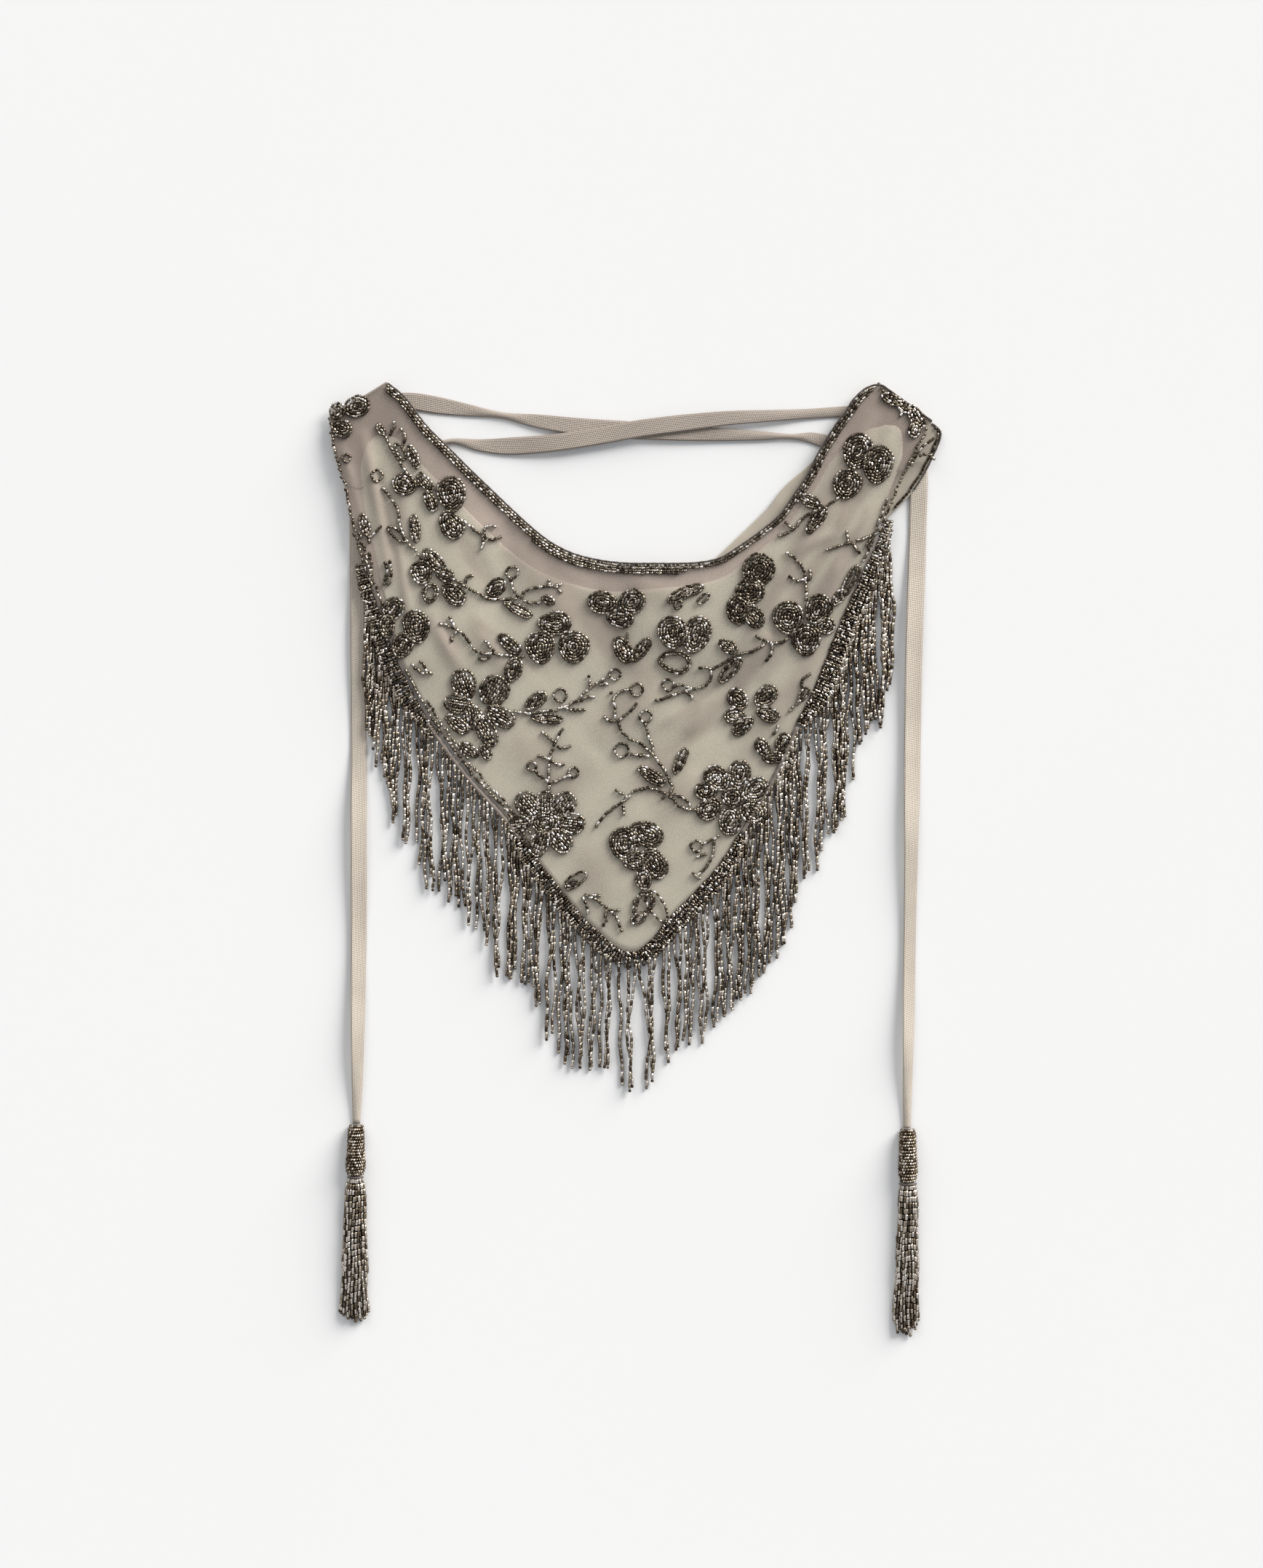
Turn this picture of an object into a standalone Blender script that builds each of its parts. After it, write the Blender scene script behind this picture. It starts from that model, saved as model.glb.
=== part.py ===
"""A bandana of fine net, trimmed with bead fringe, laid flat on a table.

The net is one triangle of cloth. Its front lies face up, and its two ends are folded under at the top corners.
A lining and a facing lie under the front. The ribbon ties start under the folded ends, cross behind the open
neckline, pass under the opposite strap and lie straight down each side, each ending in a bead tassel.

The tables below are in millimetres. +X is to the right as the front is seen, +Y is towards the neckline, and
+Z is up from the table. The origin is on the table, under the middle of the lining.
"""

import math
from collections import namedtuple

import bmesh
import bpy
from mathutils import Vector

MM = 0.001

# Driving sizes
CLOTH_WALL = 1.0
SEAM_GAP = 0.3
BEAD_DIAMETER = 1.5
NECK_EDGING_WIDTH = 4.8
HEM_WRAP_HEIGHT = 2.8
HEM_MARGIN = 0.5
FRINGE_LENGTH = 73.0
FRINGE_THICKNESS = 3.0
TIP_MITRE = 1.3
TIP_SPLIT_GAP = 0.3

# Layers, from the table up: a tie, a folded end, the lining, the net
LAYER = CLOTH_WALL + SEAM_GAP
ENDS_LIFT = 2 * LAYER
FOLD_RADIUS = ENDS_LIFT / 2
FOLDED_END_MID = LAYER + CLOTH_WALL / 2
NET_MID = LAYER + CLOTH_WALL / 2
NET_TOP = LAYER + CLOTH_WALL

# Mesh density
ACROSS_NET = 8
STATION_STEP = 0.5
FOLD_STEPS = 4
FRINGE_STEPS = 5
TIE_STEPS = 3
TASSEL_SIDES = 14
TANGENT_STEP = 0.05
SHARP_ANGLE = math.radians(40)
SAME_POINT = 0.000001

# One row for each section of the front, from the left fold to the right fold, between neckline and hem
Section = namedtuple("Section", "neck_x neck_y hem_x hem_y")
FRONT = (
    Section(-129, 186, -160, 167),
    Section(-120, 178.5, -157, 150),
    Section(-109, 164, -152, 133),
    Section(-98, 153, -147.5, 112),
    Section(-87, 142, -142, 92),
    Section(-75, 130.5, -134, 67.5),
    Section(-64, 120, -124.5, 41.5),
    Section(-53, 110, -109.5, 12.5),
    Section(-43, 102.5, -88.5, -17),
    Section(-31.5, 97, -65.5, -43),
    Section(-19.5, 94, -45, -71),
    Section(-9, 92.5, -22, -98),
    Section(0, 92, -0.5, -111),
    Section(10.5, 92, 20, -91),
    Section(21.5, 92, 42.5, -67.5),
    Section(33, 92.5, 58, -43),
    Section(44.5, 95, 72, -19),
    Section(55, 101.5, 83, 5),
    Section(65.5, 109, 94, 27.5),
    Section(75.5, 117.5, 105.5, 56),
    Section(82.5, 127.5, 116.5, 81),
    Section(89, 137, 125.5, 100),
    Section(96, 150.5, 131, 116),
    Section(103, 162, 136.5, 130),
    Section(111, 172.5, 143.5, 144),
    Section(126, 186, 154.5, 165.5),
)

# The folded ends, from the fold to the narrow tip that takes the tie
LEFT_END = (
    Section(-129, 186, -160, 167),
    Section(-124.5, 162.5, -148.5, 148),
    Section(-120.5, 134, -137, 124.5),
    Section(-115, 103.5, -126.5, 99),
    Section(-110, 76, -119, 73.5),
)
RIGHT_END = (
    Section(126, 186, 154.5, 165.5),
    Section(116, 172.5, 159.5, 160),
    Section(103.5, 158, 155.5, 148.5),
    Section(91, 144, 148, 134.5),
    Section(78.5, 133, 138, 122),
    Section(68.5, 120.5, 120.5, 107.5),
    Section(53, 105.5, 94, 86.5),
    Section(39, 92, 67.5, 71.5),
    Section(28.5, 81, 35.5, 73.5),
)

# What the folded ends raise: everything within reach of this line, falling to the table over the slope
RaisedLine = namedtuple("RaisedLine", "top_x top_y tip_x tip_y")
RAISED_LINES = (RaisedLine(-142, 170, -122, 80), RaisedLine(142, 165, 40, 84))
RAISED_REACH = 34.0
RAISED_SLOPE = 28.0

# The lining's edges, as shares of the way from neckline to hem, at numbered stations of FRONT
LiningEdge = namedtuple("LiningEdge", "station inner outer")
LINING = (
    LiningEdge(1.8, 0.36, 0.62),
    LiningEdge(2.5, 0.30, 0.77),
    LiningEdge(4.0, 0.25, 0.86),
    LiningEdge(6.0, 0.18, 0.96),
    LiningEdge(9.0, 0.11, 1.0),
    LiningEdge(12.0, 0.065, 1.0),
    LiningEdge(16.0, 0.085, 1.0),
    LiningEdge(18.0, 0.09, 1.0),
    LiningEdge(20.0, 0.13, 0.98),
    LiningEdge(22.0, 0.18, 0.95),
    LiningEdge(23.0, 0.30, 0.92),
    LiningEdge(24.0, 0.46, 0.86),
    LiningEdge(24.3, 0.52, 0.78),
)
LEFT_CORNER = 1.6
RIGHT_CORNER = 24.5
CORNER_STEP = 0.1
FOLD_CLEARANCE = 0.12
HEM_FACING_END = 5.0

# How far the bead wrap reaches out from the hem. Its two halves, and the fringe's, meet at the tip
HemWrap = namedtuple("HemWrap", "station width")
HEM_WRAP = (
    HemWrap(4.0, 4.0),
    HemWrap(5.0, 7.0),
    HemWrap(6.5, 9.0),
    HemWrap(7.5, 3.5),
    HemWrap(9.0, 3.5),
    HemWrap(9.5, 7.0),
    HemWrap(12.0, 7.5),
    HemWrap(13.0, 8.5),
    HemWrap(14.0, 8.0),
    HemWrap(15.0, 3.5),
    HemWrap(17.0, 3.5),
    HemWrap(18.0, 10.0),
    HemWrap(20.0, 8.5),
    HemWrap(22.0, 4.0),
)
WrapCorner = namedtuple("WrapCorner", "outward height")
WRAP_PROFILE = (
    WrapCorner(0, 0.0),
    WrapCorner(1, 0.0),
    WrapCorner(1, 0.45),
    WrapCorner(0.8, 0.9),
    WrapCorner(0.5, 1.0),
    WrapCorner(0.2, 0.9),
    WrapCorner(0, 0.45),
)
WRAP_START = HEM_WRAP[0].station
WRAP_END = HEM_WRAP[-1].station
FRINGE_START = 5.25
FRINGE_END = 22.0
TIP_STATION = 12

# The ties, from under the folded end to the tassel: bottom is the ribbon's height above the table there
TieStop = namedtuple("TieStop", "x y bottom width")
TIE_TO_LEFT = (
    TieStop(34, 79, 0, 8.5),
    TieStop(48.5, 88, 0, 9),
    TieStop(67.5, 99, 0, 9),
    TieStop(90, 114, 0, 9),
    TieStop(105.5, 126, 0, 9),
    TieStop(111.5, 140, 0, 9),
    TieStop(106.5, 152, 0, 8),
    TieStop(94, 157.5, 0, 6),
    TieStop(81, 158.5, 0, 2.6),
    TieStop(63.5, 159, 0, 4.8),
    TieStop(33, 160, 0, 7.5),
    TieStop(2.5, 161.5, 0, 9),
    TieStop(-27.5, 163.5, 0, 9),
    TieStop(-50.5, 166.5, 0, 7),
    TieStop(-69.5, 169.5, 0, 3.2),
    TieStop(-88.5, 172.5, 0, 6.5),
    TieStop(-104, 175, 0, 9),
    TieStop(-118, 177, 0, 9),
    TieStop(-130, 175.5, 0, 9),
    TieStop(-139, 169.5, 0, 9),
    TieStop(-143.5, 159.5, 0, 8.4),
    TieStop(-145, 143.5, 0, 8.2),
    TieStop(-145, 105.5, 0, 8.2),
    TieStop(-144.5, 44.5, 0, 8.0),
    TieStop(-144.2, -31.5, 0, 8.2),
    TieStop(-144.2, -88.5, 0, 8.2),
    TieStop(-144.8, -164.5, 0, 6.4),
    TieStop(-145.5, -200.2, 0, 3.6),
)
TIE_TO_RIGHT = (
    TieStop(-114.5, 78, 0, 8.5),
    TieStop(-114.5, 98, 0, 9),
    TieStop(-114.8, 120.5, 0, 9),
    TieStop(-114, 138, 0, 8),
    TieStop(-108.5, 150, 0, 5),
    TieStop(-97, 156, 0, 2.4),
    TieStop(-81, 154, 0, 6.2),
    TieStop(-65.5, 153.5, 0.2, 9),
    TieStop(-43, 155, 1.3, 9),
    TieStop(-20, 158.5, 1.3, 9),
    TieStop(2.5, 162.5, 1.3, 9),
    TieStop(25.5, 165.5, 1.3, 8.6),
    TieStop(48.5, 168, 1.3, 7.4),
    TieStop(71, 169.3, 1.2, 6),
    TieStop(90, 170.4, 0.2, 5),
    TieStop(109, 171.5, 0, 5.6),
    TieStop(126, 170.8, 0, 8.4),
    TieStop(138.7, 166, 0, 9),
    TieStop(145.5, 156.5, 0, 9),
    TieStop(148, 143.5, 0, 9.1),
    TieStop(147.5, 113, 0, 9.1),
    TieStop(146.5, 79, 0, 9.1),
    TieStop(145.3, 44.5, 0, 9.0),
    TieStop(144.4, -24, 0, 8.4),
    TieStop(143.6, -81, 0, 6.6),
    TieStop(142.6, -145.5, 0, 6.0),
    TieStop(142, -183.5, 0, 4.6),
    TieStop(141.9, -202.4, 0, 3.6),
)

# The tassels, each row a section across: centre, half width and height above the table
TasselSection = namedtuple("TasselSection", "x y half_width height")
LEFT_HEAD = (
    TasselSection(-145.5, -200.5, 2.6, 4.5),
    TasselSection(-145.6, -202.5, 4.0, 6.6),
    TasselSection(-145.8, -214.0, 4.6, 7.6),
    TasselSection(-145.9, -221.5, 5.2, 8.2),
    TasselSection(-146.0, -225.0, 4.6, 7.4),
    TasselSection(-146.0, -227.7, 3.4, 6.2),
)
LEFT_SKIRT = (
    TasselSection(-146.0, -228.0, 3.6, 6.2),
    TasselSection(-146.0, -235.0, 5.8, 7.0),
    TasselSection(-146.2, -260.0, 6.8, 6.8),
    TasselSection(-146.4, -285.0, 7.6, 6.0),
    TasselSection(-146.6, -298.0, 8.6, 4.6),
    TasselSection(-146.0, -303.5, 5.0, 3.2),
)
RIGHT_HEAD = (
    TasselSection(142.0, -202.7, 2.6, 4.5),
    TasselSection(142.2, -205.0, 4.2, 6.8),
    TasselSection(142.3, -216.0, 4.6, 7.6),
    TasselSection(142.4, -225.0, 5.0, 7.8),
    TasselSection(142.4, -229.0, 4.2, 7.0),
    TasselSection(142.4, -231.2, 3.8, 6.2),
)
RIGHT_SKIRT = (
    TasselSection(142.4, -231.5, 4.0, 6.4),
    TasselSection(142.5, -238.0, 5.5, 7.0),
    TasselSection(142.2, -262.0, 6.0, 6.8),
    TasselSection(141.7, -285.0, 6.8, 6.2),
    TasselSection(141.4, -303.0, 7.2, 4.8),
    TasselSection(142.0, -312.5, 4.2, 3.2),
)

# Colours, as red, green and blue from 0 to 1
NET_TAUPE = (0.36, 0.31, 0.27)
FACING_MAUVE = (0.30, 0.25, 0.22)
LINING_ECRU = (0.55, 0.52, 0.43)
RIBBON_TAUPE = (0.50, 0.45, 0.38)
SMOKE_BEAD = (0.20, 0.18, 0.15)


def clear_scene():
    """Remove the objects that Blender starts with."""
    for old in list(bpy.data.objects):
        bpy.data.objects.remove(old, do_unlink=True)


def make_material(name, colour, roughness, metallic=0.0):
    """A plain shader with one colour."""
    material = bpy.data.materials.new(name)
    material.use_nodes = True
    shader = material.node_tree.nodes["Principled BSDF"]
    shader.inputs["Base Color"].default_value = (*colour, 1.0)
    shader.inputs["Roughness"].default_value = roughness
    shader.inputs["Metallic"].default_value = metallic
    return material


def smooth(share):
    """0 below 0 and 1 above 1, with an even slope between."""
    share = min(1.0, max(0.0, share))
    return share * share * (3 - 2 * share)


def between(rows, station):
    """The row at a fractional station of a table, on a smooth curve through its rows."""
    last = len(rows) - 1
    index = min(last - 1, max(0, int(station)))
    share = station - index
    before, start, end, after = (
        rows[max(0, index - 1)],
        rows[index],
        rows[index + 1],
        rows[min(last, index + 2)],
    )
    values = []
    for a, b, c, d in zip(before, start, end, after, strict=True):
        bend = (c - a) * share + (2 * a - 5 * b + 4 * c - d) * share**2
        values.append(b + 0.5 * (bend + (3 * b - a - 3 * c + d) * share**3))
    return type(start)(*values)


def straight_between(rows, station):
    """The row at a station named in the first column, on straight lines between the rows."""
    for low, high in zip(rows, rows[1:], strict=False):
        if station <= high.station:
            break
    share = min(1.0, max(0.0, (station - low.station) / (high.station - low.station)))
    return [a + share * (b - a) for a, b in zip(low, high, strict=True)][1:]


def shares(count):
    """Even shares from 0 to 1, both included."""
    return [i / count for i in range(count + 1)]


def steps(start, end, step):
    """Even stations from start to end, about a step apart, both ends included."""
    count = max(1, round((end - start) / step))
    return [start + (end - start) * i / count for i in range(count + 1)]


def net_stations(start, end):
    """The net's own stations between two others, with those two as well."""
    inside = [i * STATION_STEP for i in range(round((len(FRONT) - 1) / STATION_STEP) + 1)]
    return [start] + [station for station in inside if start < station < end] + [end]


def lift(x, y):
    """How far the cloth is raised at a place by the ties and folded ends beneath it."""
    nearest = math.inf
    for line in RAISED_LINES:
        top = Vector((line.top_x, line.top_y))
        along = Vector((line.tip_x, line.tip_y)) - top
        offset = Vector((x, y)) - top
        share = min(1.0, max(0.0, offset.dot(along) / along.length_squared))
        nearest = min(nearest, (offset - share * along).length)
    return ENDS_LIFT * smooth((RAISED_REACH + RAISED_SLOPE - nearest) / RAISED_SLOPE)


def hem_frame(station):
    """The hem line's place and its outward direction, away from the cloth."""
    here = between(FRONT, station)
    ahead = between(FRONT, min(len(FRONT) - 1, station + TANGENT_STEP))
    behind = between(FRONT, max(0, station - TANGENT_STEP))
    along = Vector((ahead.hem_x - behind.hem_x, ahead.hem_y - behind.hem_y)).normalized()
    return Vector((here.hem_x, here.hem_y)), Vector((along.y, -along.x))


def across(station, share):
    """The place on the front at a station and a share of the way from neckline to hem edge."""
    row = between(FRONT, station)
    neck = Vector((row.neck_x, row.neck_y))
    hem, outward = hem_frame(station)
    return neck.lerp(hem - outward * HEM_MARGIN, share)


def lift_across(station, share):
    """The lift at a share of a station, straight between the net's own points, so that layers nest."""
    cell = min(ACROSS_NET - 1, int(share * ACROSS_NET))
    low = across(station, cell / ACROSS_NET)
    high = across(station, (cell + 1) / ACROSS_NET)
    step = share * ACROSS_NET - cell
    return (1 - step) * lift(low.x, low.y) + step * lift(high.x, high.y)


def layer_row(station, low, high, height):
    """The net's points at a station, held between two shares and moved to a height."""
    row = []
    for share in shares(ACROSS_NET):
        held = min(high, max(low, share))
        place = across(station, held)
        row.append((place.x, place.y, height + lift_across(station, held)))
    return row


def link(mesh, name, material, solid_height=0.0, offset=0.0):
    """An object of the mesh, which Solidify makes into a wall if a height is given."""
    mesh.materials.append(material)
    piece = bpy.data.objects.new(name, mesh)
    PARTS.objects.link(piece)
    if solid_height:
        wall = piece.modifiers.new("wall", "SOLIDIFY")
        wall.thickness = solid_height * MM
        wall.offset = offset
        wall.use_even_offset = False
    return piece


def mesh_of_grid(name, rows, closed=False):
    """A mesh lofted through rows of points in millimetres. Closed rows are rings, with filled ends."""
    mesh = bpy.data.meshes.new(name)
    shape = bmesh.new()
    grid = [[shape.verts.new(Vector(point) * MM) for point in row] for row in rows]
    width = len(grid[0])
    for near, far in zip(grid, grid[1:], strict=False):
        for i in range(width if closed else width - 1):
            j = (i + 1) % width
            shape.faces.new((near[i], near[j], far[j]))
            shape.faces.new((near[i], far[j], far[i]))
    if closed:
        shape.faces.new(grid[0])
        shape.faces.new(grid[-1])
    bmesh.ops.remove_doubles(shape, verts=shape.verts, dist=SAME_POINT)
    bmesh.ops.recalc_face_normals(shape, faces=shape.faces)
    if not closed and sum(face.normal.z * face.calc_area() for face in shape.faces) < 0:
        bmesh.ops.reverse_faces(shape, faces=shape.faces)
    shape.to_mesh(mesh)
    shape.free()
    mesh.shade_smooth()
    mesh.set_sharp_from_angle(angle=SHARP_ANGLE)
    return mesh


def end_rows(sections):
    """A folded end, level under the lining, from just past its fold to its tip."""
    rows = []
    for station in steps(0, len(sections) - 1, 0.5):
        section = between(sections, station)
        neck = Vector((section.neck_x, section.neck_y))
        hem = Vector((section.hem_x, section.hem_y))
        places = [neck.lerp(hem, share) for share in shares(ACROSS_NET)]
        rows.append([(place.x, place.y, FOLDED_END_MID) for place in places])
    return rows


def fold_rows(section, outward_sign):
    """The half turn from the front down to the folded end, along the fold line."""
    neck = Vector((section.neck_x, section.neck_y))
    hem = Vector((section.hem_x, section.hem_y))
    along = (hem - neck).normalized()
    outward = Vector((along.y, -along.x)) * outward_sign
    rows = []
    for step in range(1, FOLD_STEPS):
        turn = math.pi * step / FOLD_STEPS
        height = FOLDED_END_MID + FOLD_RADIUS * (1 + math.cos(turn))
        row = []
        for share in shares(ACROSS_NET):
            place = neck.lerp(hem, share) + outward * FOLD_RADIUS * math.sin(turn)
            row.append((place.x, place.y, height))
        rows.append(row)
    return rows


def make_net(material):
    """The net triangle in one piece: left end, left fold, front, right fold, right end."""
    front = [layer_row(station, 0, 1, NET_MID) for station in net_stations(0, len(FRONT) - 1)]
    left_fold = fold_rows(FRONT[0], outward_sign=1)
    right_fold = fold_rows(FRONT[-1], outward_sign=-1)
    rows = end_rows(LEFT_END)[::-1] + left_fold[::-1] + front + right_fold + end_rows(RIGHT_END)
    mesh = mesh_of_grid("net_body", rows)
    return link(mesh, "net_body", material, CLOTH_WALL)


def make_underlayer(name, material, stations, edges):
    """A layer under the net between two shares of each station, lying on what is below it."""
    rows = [layer_row(station, *edges(station), height=0) for station in stations]
    return link(mesh_of_grid(name, rows), name, material, CLOTH_WALL, offset=1.0)


def seam_share(station):
    """The seam gap as a share of the station's length, doubled because most seams cross it at a slant."""
    return 2 * SEAM_GAP / (across(station, 1) - across(station, 0)).length


def lining_edges(station):
    inner, outer = straight_between(LINING, station)
    return inner + seam_share(station), outer - seam_share(station)


def neck_facing_edges(station):
    """Full width at both corners, above the lining, and a band along the neckline between them."""
    if station <= LEFT_CORNER or station >= RIGHT_CORNER:
        return 0.0, 1.0
    inner, _ = straight_between(LINING, station)
    return 0.0, inner - seam_share(station)


def hem_facing_edges(station):
    _, outer = straight_between(LINING, station)
    return outer + seam_share(station), 1.0


def make_neck_edging(material):
    """The bead edging on the net along the neckline, made from the net's own points moved up."""
    rows = []
    for station in net_stations(0, len(FRONT) - 1):
        width = NECK_EDGING_WIDTH / (across(station, 1) - across(station, 0)).length
        rows.append(layer_row(station, 0, width, NET_TOP + SEAM_GAP))
    mesh = mesh_of_grid("neck_edging", rows)
    return link(mesh, "neck_edging", material, BEAD_DIAMETER, offset=1.0)


def wrap_frame(station, tip_shift):
    """The hem's place and the step from there to the wrap's outer edge, mitred at the tip."""
    place, outward = hem_frame(station)
    (width,) = straight_between(HEM_WRAP, station)
    if station == TIP_STATION:
        return Vector((place.x + tip_shift, place.y)), Vector((0, -width * TIP_MITRE))
    return place, outward * width


def make_hem_wrap(name, material, stations, tip_shift):
    """Half of the bead wrap along the hem: a bar with a flat underside and a rounded top."""
    rows = []
    for station in stations:
        place, reach = wrap_frame(station, tip_shift)
        middle = place + reach / 2
        base = lift(middle.x, middle.y)
        ring = []
        for outward, height in WRAP_PROFILE:
            point = place + reach * outward
            ring.append((point.x, point.y, base + height * HEM_WRAP_HEIGHT))
        rows.append(ring)
    return link(mesh_of_grid(name, rows, closed=True), name, material)


def make_fringe(name, material, stations, tip_shift):
    """Half of the fringe's reach: a slab from the wrap to the ends of the strands, which lie along -Y."""
    rows = []
    for station in stations:
        place, reach = wrap_frame(station, tip_shift)
        top = place + reach + reach.normalized() * 2 * SEAM_GAP
        length = FRINGE_LENGTH - reach.length
        drops = [top.y - share * length for share in shares(FRINGE_STEPS)]
        rows.append([(top.x, y, lift(top.x, y)) for y in drops])
    return link(mesh_of_grid(name, rows), name, material, FRINGE_THICKNESS, offset=1.0)


def make_tie(name, material, stops):
    """A ribbon tie along its stops, lying on the table or on the other tie."""
    rows = []
    for station in steps(0, len(stops) - 1, 1 / TIE_STEPS):
        here = between(stops, station)
        ahead = between(stops, min(len(stops) - 1, station + TANGENT_STEP))
        behind = between(stops, max(0, station - TANGENT_STEP))
        along = Vector((ahead.x - behind.x, ahead.y - behind.y)).normalized()
        side_x, side_y = -along.y * here.width / 2, along.x * here.width / 2
        bottom = max(0.0, here.bottom)
        left_edge = (here.x + side_x, here.y + side_y, bottom)
        right_edge = (here.x - side_x, here.y - side_y, bottom)
        rows.append([left_edge, right_edge])
    return link(mesh_of_grid(name, rows), name, material, CLOTH_WALL, offset=1.0)


def make_tassel_piece(name, material, sections):
    """A bundle lying on the table: each section is an arch over a flat underside."""
    rows = []
    for section in sections:
        ring = []
        for i in range(TASSEL_SIDES + 1):
            turn = math.pi * i / TASSEL_SIDES
            x = section.x + section.half_width * math.cos(turn)
            ring.append((x, section.y, section.height * math.sin(turn)))
        rows.append(ring)
    return link(mesh_of_grid(name, rows, closed=True), name, material)


clear_scene()
PARTS = bpy.data.collections.new("bandana")
bpy.context.scene.collection.children.link(PARTS)

net = make_material("net", NET_TAUPE, 0.8)
facing = make_material("facing", FACING_MAUVE, 0.85)
lining = make_material("lining", LINING_ECRU, 0.8)
ribbon = make_material("ribbon", RIBBON_TAUPE, 0.6)
beads = make_material("beads", SMOKE_BEAD, 0.25, metallic=0.8)

make_net(net)
make_underlayer(
    "lining",
    lining,
    net_stations(LINING[0].station, LINING[-1].station),
    lining_edges,
)
make_underlayer(
    "neck_facing",
    facing,
    net_stations(FOLD_CLEARANCE, LEFT_CORNER)
    + net_stations(LEFT_CORNER + CORNER_STEP, RIGHT_CORNER - CORNER_STEP)
    + net_stations(RIGHT_CORNER, len(FRONT) - 1 - FOLD_CLEARANCE),
    neck_facing_edges,
)
make_underlayer(
    "hem_facing",
    facing,
    net_stations(LINING[0].station, HEM_FACING_END),
    hem_facing_edges,
)
make_neck_edging(beads)
make_hem_wrap("hem_wrap_left", beads, net_stations(WRAP_START, TIP_STATION), -TIP_SPLIT_GAP / 2)
make_hem_wrap("hem_wrap_right", beads, net_stations(TIP_STATION, WRAP_END), TIP_SPLIT_GAP / 2)
make_fringe("fringe_left", beads, net_stations(FRINGE_START, TIP_STATION), -TIP_SPLIT_GAP / 2)
make_fringe("fringe_right", beads, net_stations(TIP_STATION, FRINGE_END), TIP_SPLIT_GAP / 2)
make_tie("tie_to_left", ribbon, TIE_TO_LEFT)
make_tie("tie_to_right", ribbon, TIE_TO_RIGHT)
make_tassel_piece("tassel_head_left", beads, LEFT_HEAD)
make_tassel_piece("tassel_skirt_left", beads, LEFT_SKIRT)
make_tassel_piece("tassel_head_right", beads, RIGHT_HEAD)
make_tassel_piece("tassel_skirt_right", beads, RIGHT_SKIRT)
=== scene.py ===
"""The looks of a bandana of fine net, trimmed with tube beads, a bead fringe, ribbon ties and bead tassels.

It lies flat on a pale table and is seen from straight above. Lengths in the tables are in millimetres.
Places whose columns begin with px_ are pixels of the 1736 by 2155 photograph.
"""

import math
import random
from collections import namedtuple

import bmesh
import bpy
import numpy as np
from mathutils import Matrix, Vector


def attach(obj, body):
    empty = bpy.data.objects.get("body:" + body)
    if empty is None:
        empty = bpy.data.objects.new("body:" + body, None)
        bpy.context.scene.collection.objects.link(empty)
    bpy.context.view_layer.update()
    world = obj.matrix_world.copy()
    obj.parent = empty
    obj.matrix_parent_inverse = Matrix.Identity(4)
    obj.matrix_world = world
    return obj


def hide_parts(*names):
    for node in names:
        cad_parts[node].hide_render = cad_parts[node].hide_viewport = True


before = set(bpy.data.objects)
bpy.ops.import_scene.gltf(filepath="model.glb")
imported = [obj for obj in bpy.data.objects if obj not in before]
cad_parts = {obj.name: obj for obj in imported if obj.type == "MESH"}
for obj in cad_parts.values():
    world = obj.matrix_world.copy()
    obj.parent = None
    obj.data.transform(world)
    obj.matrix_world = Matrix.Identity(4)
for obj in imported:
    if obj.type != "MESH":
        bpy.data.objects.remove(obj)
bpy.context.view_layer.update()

MM = 0.001


def rows_of(kind, *rows):
    """A table whose rows have named columns."""
    return tuple(kind(*row) for row in rows)


def px(x, y):
    """A place in millimetres from a place on the photograph."""
    return (x - ORIGIN_PX_X) * MM_PER_PIXEL, (ORIGIN_PX_Y - y) * MM_PER_PIXEL


# The photograph's frame and scale
PHOTO_WIDTH, PHOTO_HEIGHT = 1736, 2155
MM_PER_PIXEL = 0.38
ORIGIN_PX_X, ORIGIN_PX_Y = 873, 1017.5
LENS, SENSOR = 85, 36
UP = (0.0, 0.0, 1.0)

# Layers, from the table up
LAYER = 1.3
ENDS_LIFT = 2 * LAYER
LINING_HEIGHT = 0.6
NET_HEIGHT = 1.5
NECK_FACING_BELOW = 0.23
HEM_FACING_BELOW = 0.3
FOLDED_END_HEIGHT = 1.8
FOLDED_END_RIPPLE = 0.25
RIPPLE_BROAD, RIPPLE_FINE = 0.22, 0.07
CLOTH_THICKNESS = 0.2
NET_THICKNESS = 0.16
HEM_MARGIN = 0.5
RIBBON_THICKNESS = 0.4

# Cloth meshes: steps along in stations, points across, and the half turns at the folds
CLOTH_STEP = 0.125
NET_COLUMNS = 49
LINING_COLUMNS = 51
NECK_FACING_COLUMNS = 25
HEM_FACING_COLUMNS = 9
FOLD_STEPS = 6
FOLD_OUT = 1.2

# The net's threads
NET_PITCH = 2.2
NET_ANGLE = 32

# Beads, and how each kind narrows to its ends
BEAD_LENGTH = 2.1
BEAD_RADIUS = 0.68
BEAD_PITCH = 2.2
STRAND_PITCH = 3.1
STEM_RADIUS = 0.78
BALL_RADIUS = 0.8
BEAD_SIDES = 6
BEAD_ROLL = 0.3
LONGEST_BEVEL = 0.3
BeadShape = namedtuple("BeadShape", "bevel end_share")
TUBE = BeadShape(0.22, 0.74)
BALL = BeadShape(0.65, 0.5)
ROUND = BeadShape(0.4, 0.55)

# Beads' tones: shares of them, and the painted shade of their sides, bevels and holes, and their painted
# glints
BRIGHT_SHARE = 0.15
PAINTED_SIDE_SHADE = 0.36
PAINTED_GLINT_SHARE = 0.06
PAINTED_GLINT = 0.25
BRIGHT_TONES, DARK_TONES = (0.86, 1.0), (0.27, 0.77)
FACET_TONES, PAINTED_BEVEL_SHADES = (0.93, 1.07), (0.08, 0.25)
ROUND_END_SHADE = 3.5
PAINTED_HOLE_SHADE = 0.05

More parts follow.
